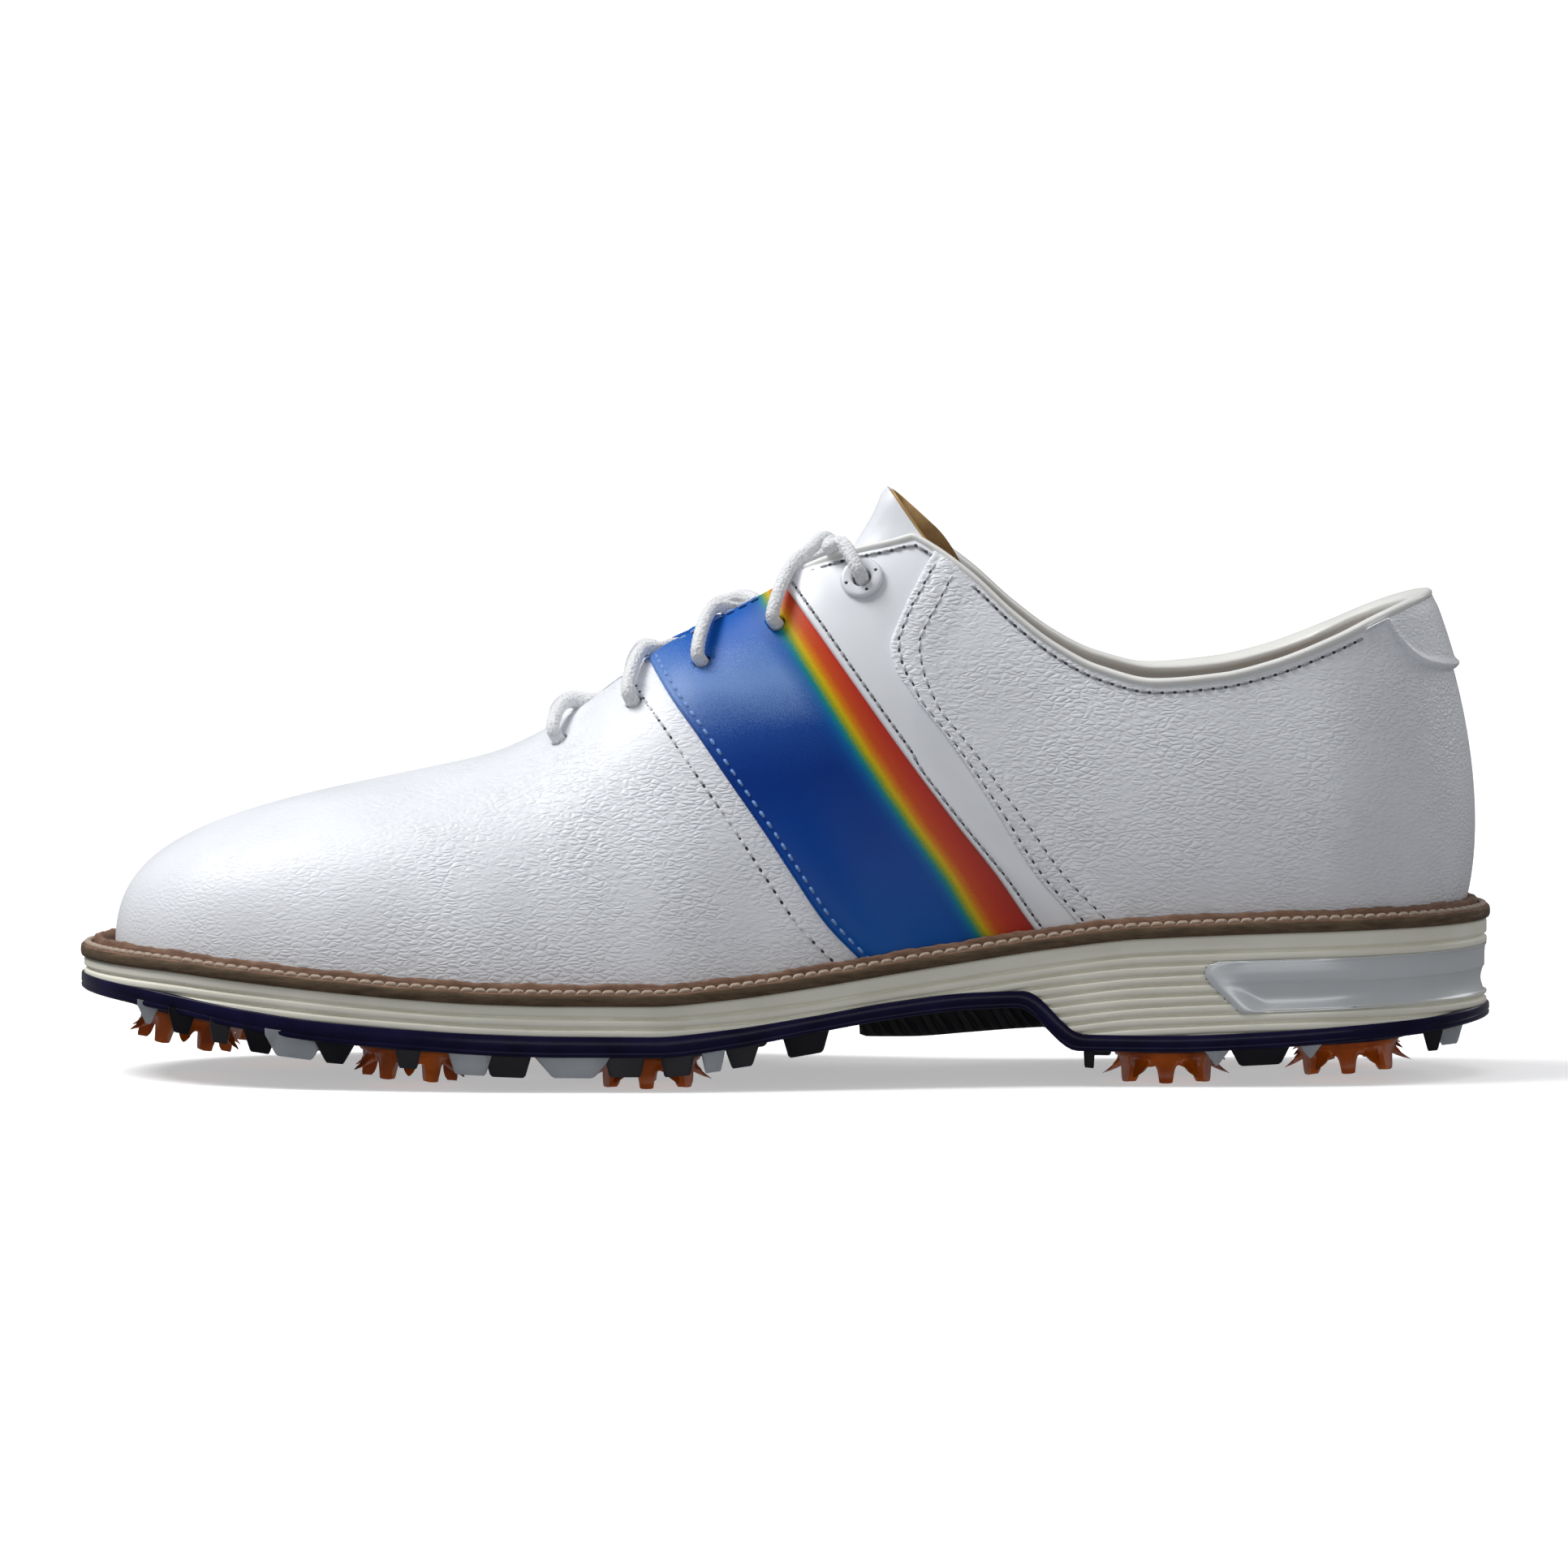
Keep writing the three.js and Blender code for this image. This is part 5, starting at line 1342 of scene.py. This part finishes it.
def ring_angles(from_x=-152.0, to_x=152.0, step=RING_STEP):
    """Angles of one side, about evenly spaced along the sole's edge, with the arch's corners."""
    fine = np.linspace(float(angle_at(from_x)), float(angle_at(to_x)), 1500)
    length = travelled(edge(fine))
    even = np.interp(np.linspace(0, length[-1], int(length[-1] / step)), length, fine)
    corners = angle_at([c for c in ARCH_CORNERS if from_x < c < to_x])
    clear = np.abs(even[:, None] - corners).min(1) > 0.004 if len(corners) else even > -1
    return np.sort(np.concatenate([even[clear], corners]))


def ring(inset, height, angles):
    """One closed ring round the sole: the outer side from the front, then the inner back."""
    outer, inner = (with_height(inset_edge(side * angles, inset), height) for side in (-1, 1))
    return np.concatenate([outer, inner[::-1]])


def length_at(angles):
    return -HALF_LENGTH * np.cos(angles)


def stack(name, rings, sharp_angle=40):
    """A closed solid through rings, capped by strips that cross the sole."""
    count = len(rings[0])
    faces = grid_faces(len(rings), count, closed=True)
    last = (len(rings) - 1) * count
    for i in range(count // 2 - 1):
        strip = [i, i + 1, count - 2 - i, count - 1 - i]
        faces.append(strip)
        faces.append([v + last for v in reversed(strip)])
    return make_mesh(name, np.concatenate(rings), faces, sharp_angle)


WELT_SECTION = [
    (0.5, 0.0), (0.1, 0.15), (-0.1, 0.7), (-0.1, 1.7), (0.05, 2.35), (0.4, 2.7), (0.85, 2.65),
    (1.1, 2.2), (2.2, 2.15), (2.6, 2.5), (2.75, 3.3), (2.9, 4.1), (3.3, 4.5), (3.9, 4.5),
    (4.5, 4.3), (4.9, 3.7), (5.0, 2.0), (5.0, 0.0),
]


def edge_loop(step):
    """Angles all round the sole's edge, evenly spaced."""
    fine = np.linspace(-math.pi, math.pi, 6000)
    length = travelled(edge(fine))
    count = int(length[-1] / step)
    return np.interp(np.linspace(0, length[-1], count, endpoint=False), length, fine)


WELT_STEP = 0.7
WELT_EDGE_HEIGHT = 2.45


def welt():
    s = edge_loop(WELT_STEP)
    travel = np.arange(len(s)) * WELT_STEP
    uneven = 0.12 * np.sin(travel * 0.31) + 0.1 * np.sin(travel * 0.77 + 1) + 0.08 * np.sin(travel * 1.9)
    rows = []
    for inset, rise in WELT_SECTION:
        p = inset_edge(s, inset)
        z = midsole_top(p[:, 0]) + rise + uneven * smooth(rise, 1.5, 4.5)
        rows.append(with_height(p, z))
    piece = make_mesh("welt_strip", np.concatenate(rows), tube_faces(len(rows), len(s)), 50)
    finish_piece(piece, "welt_rim", replaces=("welt",))
    piece.data.materials.append(MATERIALS["welt_edge"])
    heights = np.array([face.center.z for face in piece.data.polygons]) / MM
    at_x = np.array([face.center.x for face in piece.data.polygons]) / MM
    low = heights - midsole_top(at_x) < WELT_EDGE_HEIGHT
    piece.data.polygons.foreach_set("material_index", low.astype(np.int32))


LOOP_PITCH = 2.75


def loop_stitches():
    """The welt's stitches: short bowed loops that lie in the channel, end over end."""
    p = inset_edge(edge_loop(LOOP_PITCH), 1.45)
    centre = with_height(p, midsole_top(p[:, 0]) + 2.65)
    along = unit(np.roll(centre, -1, 0) - np.roll(centre, 1, 0))
    up = unit(np.array([0, 0, 1.0]) - along * along[:, 2:])
    across = np.cross(up, along)
    template = []
    for place in np.linspace(-1, 1, 9):
        bow = 1 - place**4
        thick = 0.3 + 0.27 * bow
        for a in full_turn(8):
            template.append((
                place * LOOP_PITCH * 0.5,
                thick * 1.35 * math.cos(a) + 0.1 * place,
                thick * math.sin(a) + 0.42 * bow - 0.16,
            ))
    faces = grid_faces(9, 8, closed=True) + [list(range(8)), list(range(64, 72))]
    frames = np.stack([along, across, up], 1)
    piece = repeated("welt_loops", template, faces, centre, frames)
    finish_piece(piece, "thread_tan", replaces=("welt_stitching",))


insert_low = through([(80, 15.2), (152, 17.4)])
insert_high = through([(80, 26.6), (152, 28.2)])
insert_edge = through([(0, 97.4), (0.25, 94.6), (0.55, 91.2), (0.78, 89.7), (0.92, 90.3), (1, 92.6)])
# The hollow's depth by the share of the way up, in front of the crease and along it.
insert_depth = through(
    [(0, 0.15), (0.07, 1.1), (0.25, 1.45), (0.5, 0.95), (0.62, 0.55), (0.8, 0.35), (0.93, 0.35), (1, 0.15)]
)
crease_depth = through(
    [(0, 0.15), (0.08, 1.2), (0.3, 1.8), (0.5, 1.35), (0.55, 1.0), (0.8, 0.95), (0.93, 0.8), (1, 0.15)]
)
GROOVE_PITCH = 2.2
FIRST_GROOVE = 3.6
FRONT_GROOVE = 2.5
GROOVE_WIDTH = 0.3
GROOVE_DEPTH = 0.75
INSERT_BED = 3.6
INSERT_THICKNESS = 2.6
INSERT_HEIGHT = 11
CREASE_FADE = (112, 132)


def midsole():
    angles = ring_angles()
    x = length_at(angles)
    deepest = float((midsole_top(x) - outsole_top(x)).max())
    share_low, share_high = insert_low(x), insert_high(x)
    rings = [ring(2.0, midsole_top(x), angles)]
    for depth in np.arange(0, deepest + 0.21, 0.2):
        height = np.maximum(midsole_top(x) - depth, outsole_top(x))
        waver = 0.06 * np.sin(x * 0.13 + depth)
        phase = (depth + waver - mix(FRONT_GROOVE, FIRST_GROOVE, smooth(x, -60, 40))) / GROOVE_PITCH
        near = np.abs(phase - np.round(phase)) * GROOVE_PITCH
        groove = np.where(phase > -0.3, np.exp(-((near / GROOVE_WIDTH) ** 2)), 0)
        swell = np.where(phase > 0, 0.16 * np.sin(math.pi * (phase % 1)), 0.12)
        v = (height - share_low) / (share_high - share_low)
        window = (x > insert_edge(np.clip(v, 0, 1)) + 0.9) & (v > 0.05) & (v < 0.95)
        rounding = 0.5 * np.exp(-depth / 0.25)
        inset = np.where(window, INSERT_BED, 0.75 + GROOVE_DEPTH * groove - swell + rounding)
        rings.append(ring(inset, height, angles))
    rings.append(ring(2.0, outsole_top(x), angles))
    piece = stack("midsole_body", rings, 75)
    finish_piece(piece, "midsole", replaces=("midsole",))


def heel_insert():
    rows, count = 61, 260
    from_front = (1 - np.abs(np.linspace(-1, 1, count))) * 62
    outer, inner = [], []
    for share in np.linspace(0, 1, rows):
        s = heel_angles(insert_edge(share), count)
        x = edge(s)[:, 0]
        from_rim = min(share, 1 - share) * INSERT_HEIGHT
        lip = 0.4 * np.exp(-np.minimum(from_front, from_rim) / 0.25)
        crease = smooth(x, *CREASE_FADE)
        scoop = mix(float(insert_depth(share)), float(crease_depth(share)), crease)
        inset = 0.1 + scoop * smooth(from_front, 0.9, 4.5) + lip
        z = mix(insert_low(x), insert_high(x), share)
        outer.append(with_height(inset_edge(s, inset), z))
        inner.append(with_height(inset_edge(s, inset + INSERT_THICKNESS), z))
    piece = between("heel_insert_shell", np.array(outer), np.array(inner), sharp_angle=28)
    finish_piece(piece, "insert", replaces=("heel_insert",))


# Each lug's x, inset of its middle from the sole's edge, length, width, depth, taper and
# material. Those in the middle have their y instead of the inset.
RIM_LUGS = [
    (-136.6, 4.0, 4.6, 4.0, 3.8, 0.25, "lug_clear"), (-129.3, 3.6, 5.6, 4.5, 4.2, 0.6, "lug_black"),
    (-120.9, 3.4, 4.6, 4.5, 4.2, 0.7, "lug_grey"), (-112.3, 3.4, 7.0, 4.6, 4.6, 0.6, "lug_black"),
    (-104.9, 3.2, 12.6, 4.2, 4.4, 0.62, "lug_clear"), (-96.2, 4.6, 8.6, 5.4, 4.6, 0.45, "lug_black"),
    (-80.5, 3.0, 5.6, 3.8, 4.2, 0.7, "lug_grey"), (-67.2, 3.2, 9.4, 4.2, 4.6, 0.7, "lug_clear"),
    (-59.2, 4.4, 10.0, 5.4, 4.8, 0.75, "lug_grey"), (-45.2, 3.0, 16.4, 3.8, 4.6, 0.55, "lug_clear"),
    (-34.2, 3.2, 8.6, 3.8, 4.4, 0.8, "lug_grey"), (-23.0, 3.2, 7.2, 4.0, 4.4, 0.8, "lug_grey"),
    (-15.4, 3.6, 5.2, 4.6, 4.6, 0.65, "lug_clear"), (-9.2, 4.6, 7.4, 5.6, 4.6, 0.6, "lug_grey"),
    (4.4, 7.0, 10.0, 8.0, 4.8, 0.75, "lug_black"), (65.0, 3.4, 2.4, 4.0, 3.8, 0.85, "lug_black"),
    (92.3, 3.0, 5.8, 3.6, 3.4, 0.12, "lug_clear"), (101.6, 4.2, 12.8, 5.6, 3.8, 0.7, "lug_black"),
    (112.4, 3.0, 5.4, 3.6, 3.0, 0.12, "lug_clear"), (139.0, 6.0, 4.4, 4.6, 4.4, 0.5, "lug_black"),
]
CENTRE_LUGS = [
    (-136, 0, 9, 6, 3.6, 0.7, "lug_clear"), (-107, -5, 9, 8, 3.4, 0.7, "lug_grey"),
    (-128, 12, 8, 7, 3.4, 0.7, "lug_black"), (-84, 8, 12, 9, 3.4, 0.7, "lug_grey"),
    (-96, 16, 9, 8, 3.4, 0.65, "lug_clear"), (-58, -13, 12, 9, 3.4, 0.7, "lug_clear"),
    (-66, 18, 10, 8, 3.4, 0.7, "lug_grey"), (-62, 2, 9, 7, 3.4, 0.65, "lug_black"),
    (-20, 2, 12, 8, 3.4, 0.7, "lug_clear"), (-8, -16, 11, 8, 3.4, 0.7, "lug_grey"),
    (-12, 17, 11, 8, 3.4, 0.7, "lug_grey"), (8, 2, 9, 8, 3.4, 0.6, "lug_black"),
    (68, 0, 6, 16, 3.8, 0.75, "lug_black"), (102, 0, 13, 9, 3.6, 0.7, "lug_clear"),
    (143, -9, 6, 8, 4.6, 0.6, "lug_clear"), (143, 8, 6, 8, 4.6, 0.6, "lug_black"),
]


def outsole():
    angles = ring_angles()
    x = length_at(angles)
    sections = [
        (3.0, outsole_top, 0.45), (0.3, outsole_top, 0.45), (0.05, outsole_top, 0.15),
        (0.0, outsole_bottom, 1.5), (0.2, outsole_bottom, 1.1), (0.0, outsole_bottom, 0.75),
        (0.1, outsole_bottom, 0.2), (0.5, outsole_bottom, -0.15), (1.6, outsole_bottom, -0.25),
        (2.6, outsole_bottom, 0.5), (6.2, outsole_bottom, 0.5), (6.5, outsole_bottom, 0.0),
        (7.3, outsole_bottom, 0.0), (7.6, outsole_bottom, 0.5), (8.0, outsole_bottom, 0.5),
    ]
    rings = [ring(inset, height(x) + rise, angles) for inset, height, rise in sections]
    piece = stack("outsole_base", rings, 50)
    finish_piece(piece, "navy", replaces=("outsole",))


LUG_SIDES = 28
LUG_ROOT = 1.2


def lug_points(x, y, length, width, depth, taper, side):
    """A tapered block with softened corners that stands out of the outsole's underside."""
    seat = float(outsole_bottom(x)) + LUG_ROOT
    slope = float(outsole_bottom(x + 5) - outsole_bottom(x - 5)) / 10
    outline = []
    for turn in full_turn(LUG_SIDES):
        c, d = math.cos(turn), math.sin(turn)
        outline.append((math.copysign(abs(c) ** 0.28, c), math.copysign(abs(d) ** 0.28, d)))
    levels = [(0.0, 1.0), (0.25, 1.0), (0.92, mix(1.0, taper, 0.92)), (1.0, taper * 0.9), (1.0, 0.001)]
    points = []
    for down, scale in levels:
        cross = mix(1, 0.72, down) if scale > 0.01 else 0.001
        for a, b in outline:
            px = x + a * length / 2 * scale
            py = y + side * 0.4 * down + b * width / 2 * min(scale + 0.25, 1) * cross
            points.append((px, py, seat + slope * (px - x) - down * (depth + LUG_ROOT)))
    top = [(x, y, points[0][2])] * LUG_SIDES
    return np.array(top + points), grid_faces(len(levels) + 1, LUG_SIDES, closed=True)


def lugs():
    groups = {}
    for side in (-1, 1):
        for x, inset, *rest, material in RIM_LUGS:
            s = side * float(angle_at(x))
            y = float(inset_edge(s, inset)[1])
            groups.setdefault(material, []).append(lug_points(x, y, *rest, side))
    for x, y, *rest, material in CENTRE_LUGS:
        groups.setdefault(material, []).append(lug_points(x, y, *rest, 0))
    for material, parts in groups.items():
        piece = make_mesh("outsole_" + material + "s", *joined(parts), 50)
        finish_piece(piece, material)


arch_low = through([(16, 12.6), (18.5, 10.8), (28, 10.6), (40, 11.3), (50, 12.0), (58, 12.4)])


def arch_plate():
    angles = ring_angles(17.5, 57.0)
    x = length_at(angles)
    rings = []
    for inset, rise in ((7.0, 0), (5.6, 0.15), (4.9, 0.9)):
        rings.append(ring(inset, np.minimum(arch_low(x) + rise, outsole_bottom(x) + 0.3), angles))
    rings.append(ring(4.6, outsole_bottom(x) + 0.6, angles))
    plate = stack("arch_shell", rings, 50)
    finish_piece(plate, "arch", replaces=("arch_plate",))
    parts = []
    for side in (-1, 1):
        for x in np.arange(20, 55, 1.9):
            s = side * float(angle_at(x))
            y = float(inset_edge(s, 4.75)[1])
            parts.append(streak(x, y, side))
    for x in np.arange(22, 55, 2.6):
        s = float(angle_at(x))
        reach = abs(float(inset_edge(s, 8.5)[1]))
        parts.append(rib(x, float(arch_low(x)) + 0.12, reach))
    ribs = make_mesh("arch_ribs", *joined(parts), 50)
    finish_piece(ribs, "arch")


def bar_between(start, end, radius):
    """A thin six-sided bar with rounded ends."""
    start, end = np.array(start, float), np.array(end, float)
    length = float(np.linalg.norm(end - start))
    profile = [
        (AXIS, 0), (radius * 0.7, 0.02), (radius, 0.5), (radius, length - 0.5),
        (radius * 0.7, length - 0.02), (AXIS, length),
    ]
    return lathe(profile, 6, start, axes_for(end - start))


def streak(x, y, side):
    low = float(np.minimum(arch_low(x), outsole_bottom(x))) + 0.9
    high = float(outsole_bottom(x)) - 0.2
    high = max(high, low + 1.2)
    return bar_between((x, y, low), (x - 0.7 * (high - low), y, high), 0.42)


def rib(x, z, reach):
    return bar_between((x, -reach, z), (x - 3.0, reach * 0.8, float(arch_low(x - 3)) + 0.12), 0.55)


# ------------------------------------------------------------------ cleats
CLEATS = {
    "toe_outer": (-128, -15.5), "toe_inner": (-109, 22), "ball_outer": (-80, -33),
    "waist_outer": (-29.4, -35), "ball_inner": (-44, 31), "heel_front_outer": (81.8, -21),
    "heel_front_inner": (83.5, 19.5), "heel_rear_outer": (120.5, -19),
    "heel_rear_inner": (121.5, 17.5),
}
LEVEL_SLOPE = 0.03
LEGS = 12


def cleat_place(x, y):
    """The middle of a cleat's seat and its axes, the last pointing up into the sole."""
    slope = float(outsole_bottom(x + 8) - outsole_bottom(x - 8)) / 16
    level = abs(slope) < LEVEL_SLOPE
    under = [float(outsole_bottom(x + step)) - slope * step for step in (-12, -6, 0, 6, 12)]
    tilt = 0.0 if level else math.atan(slope)
    seat = CLEAT_HEIGHT if level else min(under) - 0.3
    axes = np.array([
        [math.cos(tilt), 0, math.sin(tilt)], [0, 1, 0], [-math.sin(tilt), 0, math.cos(tilt)],
    ])
    return np.array([x, y - SIDE_SHIFT, seat]), axes


def leg_shape(turn):
    """For each angle round the cleat: depth of its lower edge, flare of its tip, and the
    thickness there. Blunt stubs and flared claws take turns, with arches between them."""
    pitch = 2 * math.pi / LEGS
    place = turn / pitch
    number = np.round(place).astype(int)
    off = np.abs(place - number) * 2
    claw = number % 2 == 1
    half = np.where(claw, 0.38, 0.6)
    inside = np.clip(off / half, 0, 1)
    tip = np.where(claw, -5.9 + 1.2 * inside**1.4, -CLEAT_HEIGHT + 0.3 * inside**4)
    rise = np.clip((off - half) / (1 - half), 0, 1)
    low = mix(tip, -3.4, rounded(rise))
    flare = np.where(claw, 3.9 * (1 - 0.45 * inside**2), 0.6)
    flare = mix(flare, 0.5, smooth(rise, 0.0, 0.6))
    thick = np.where(claw, 0.5 + 0.5 * inside, 2.7)
    thick = mix(thick, 2.4, smooth(rise, 0.0, 0.7))
    return low, flare, thick


def cleat_skirt(spin):
    columns, rows = 264, 11
    turn = full_turn(columns)
    low, flare, thick = leg_shape(turn)
    u = np.linspace(0, 1, rows)[:, None]
    height = mix(-0.5, low, u)
    outer = 9.9 + 0.9 * (1 - u) ** 2 + flare * u**2.8
    inner = outer - mix(3.4, thick, u**1.8)
    round_off = 0.35 * np.exp(-(1 - u) * 14)
    outer, inner = outer - round_off, inner + round_off
    angle = turn + spin

    def points(radius):
        return np.stack([radius * np.cos(angle), radius * np.sin(angle), height], -1)

    loop = np.concatenate([points(outer), points(inner)[::-1]])
    return loop.reshape(-1, 3), tube_faces(2 * rows, columns)


CROWN = [
    (AXIS, 4.4), (4.3, 4.4), (4.3, 0.0), (10.6, 0.0), (11.3, -0.45), (11.35, -1.1), (10.9, -1.7),
    (9.6, -2.0), (7.6, -2.0), (7.0, -1.5), (3.4, -1.5), (2.8, -2.6), (2.2, -2.9), (AXIS, -2.9),
]
SEAT_RING = [(12.0, 2.0), (12.0, -0.3), (12.3, -0.55), (13.0, -0.55), (13.4, -0.2), (13.5, 2.0)]
SPANNER_CIRCLE = 5.2


def seat_rings():
    """A low ring moulded round each cleat's seat."""
    faces = tube_faces(len(SEAT_RING), 60)
    parts = [(lathe(SEAT_RING, 60, *cleat_place(*place))[0], faces) for place in CLEATS.values()]
    piece = make_mesh("outsole_seat_rings", *joined(parts), 50)
    finish_piece(piece, "navy")


def cleats():
    for number, (name, place) in enumerate(CLEATS.items()):
        centre, axes = cleat_place(*place)
        spin = (number % 2) * 0.5
        points, faces = joined([cleat_skirt(spin), lathe(CROWN, 72)])
        body = make_mesh("cleat_body_" + name, points @ axes + centre, faces, 50)
        holes = []
        for k in range(3):
            turn = spin + 2 * math.pi * k / 3
            at = (SPANNER_CIRCLE * math.cos(turn), SPANNER_CIRCLE * math.sin(turn), -2.6)
            holes.append(pin(0.95, 0, 1.9, 16, np.array(at) @ axes + centre, axes))
        cut_away(body, make_mesh("pins", *joined(holes)))
        finish_piece(body, "orange", "cleat_" + name, ("cleat_" + name,))


# ------------------------------------------------------------------ inside
def footbed():
    angles = ring_angles(step=2.2)
    sections = [
        (13.2, 2.6), (13.0, 3.0), (12.8, 4.6), (13.2, 6.2), (13.8, 6.9), (14.6, 6.9), (16.5, 6.3),
        (20, 5.8), (26, 5.5),
    ]
    top = midsole_top(length_at(angles))
    rings = [ring(inset, top + rise, angles) for inset, rise in sections]
    piece = stack("footbed_cushion", rings, 50)
    finish_piece(piece, "footbed", replaces=("footbed",))


CAD_LOOKS = {
    "vamp_lining": "lining", "toe_puff": "stiffener", "heel_counter": "stiffener",
    "insole_board": "board", "cork_filler": "cork", "shank": "steel",
}


def dress_cad_nodes():
    for name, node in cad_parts.items():
        look = "nylon" if name.startswith("socket_") else CAD_LOOKS.get(name)
        if look:
            for slot in node.material_slots:
                slot.material = MATERIALS[look]


# ------------------------------------------------------------------ build
vamp()
for side_name, side_sign in SIDES:
    side_panels(side_name, side_sign)
    edge_stitching(side_name, side_sign)
rear_lining()
binding()
heel_tab()
tongue()
lace()
eyelet_rings()
welt()
loop_stitches()
midsole()
heel_insert()
outsole()
lugs()
arch_plate()
seat_rings()
cleats()
footbed()
dress_cad_nodes()


# ------------------------------------------------------------------ stage and light
FLOOR_GLOW = 0.42
FAR_GLOW = 1.0
GLOW_FADE = (0.4, 2.5)
FLOOR_LEVEL = -0.0001
FLOOR_RADIUS = 5.0
WALL_RADIUS = 2.5


def make_stage():
    """A pale round floor that sweeps up into a closed dome, past every viewpoint."""
    line = [(r, FLOOR_LEVEL) for r in (0.0, 0.5, 1.5, 3.0)]
    for a in np.linspace(0, math.pi / 2, 16):
        rise = WALL_RADIUS * (1 - math.cos(a))
        line.append((FLOOR_RADIUS + WALL_RADIUS * math.sin(a), FLOOR_LEVEL + rise))
    line += [(FLOOR_RADIUS + WALL_RADIUS, 6.0), (6.5, 8.0), (4.0, 9.5), (AXIS, 10.0)]
    points, faces = lathe(line, 96)
    faces = [face[::-1] for face in faces]
    data = bpy.data.meshes.new("backdrop")
    data.from_pydata(points, [], faces)
    for face in data.polygons:
        face.use_smooth = True
    backdrop = bpy.data.objects.new("backdrop", data)
    bpy.context.scene.collection.objects.link(backdrop)
    backdrop.visible_diffuse = False
    backdrop.visible_glossy = False
    white = (1, 1, 1, 1)
    m = Nodes("backdrop", 0.8, Base_Color=(0.93, 0.93, 0.94, 1), Emission_Color=white)
    length = m.tree.nodes.new("ShaderNodeVectorMath")
    length.operation = "LENGTH"
    m.tree.links.new(m.place(), length.inputs[0])
    glow = m.map_range(length.outputs["Value"], *GLOW_FADE, FLOOR_GLOW, FAR_GLOW)
    m.link(glow, "Emission Strength")
    clear = m.tree.nodes.new("ShaderNodeBsdfTransparent")
    sided = m.tree.nodes.new("ShaderNodeMixShader")
    facing = m.tree.nodes.new("ShaderNodeNewGeometry").outputs["Backfacing"]
    for socket, value in zip(sided.inputs, (facing, m.shader.outputs[0], clear.outputs[0])):
        m.tree.links.new(value, socket)
    m.tree.links.new(sided.outputs[0], m.tree.nodes["Material Output"].inputs["Surface"])
    data.materials.append(m.material)


def area_light(name, location, target, size, power):
    data = bpy.data.lights.new(name, "AREA")
    data.shape = "RECTANGLE"
    data.size, data.size_y = size
    data.energy = power
    light = bpy.data.objects.new(name, data)
    bpy.context.scene.collection.objects.link(light)
    light.location = location
    direction = np.array(target, float) - np.array(location, float)
    light.rotation_euler = Vector(direction).to_track_quat("-Z", "Y").to_euler()


def make_lights():
    area_light("key", (-1.05, -0.1, 1.6), (-0.03, 0, 0.05), (0.9, 0.9), 33)
    area_light("top", (0.3, -0.1, 1.8), (0, 0, 0.05), (1.2, 0.6), 4)
    area_light("rim", (1.3, 1.0, 0.9), (0.05, 0, 0.06), (0.8, 0.8), 5)
    area_light("low", (0.35, -1.6, 0.2), (0.03, 0, 0.03), (1.6, 0.3), 4.5)
    world = bpy.data.worlds.new("world")
    bpy.context.scene.world = world
    world.use_nodes = True
    background = world.node_tree.nodes["Background"]
    background.inputs["Color"].default_value = (0.95, 0.96, 1, 1)
    background.inputs["Strength"].default_value = 0.22
    bpy.context.scene.view_settings.view_transform = "Standard"


make_stage()
make_lights()
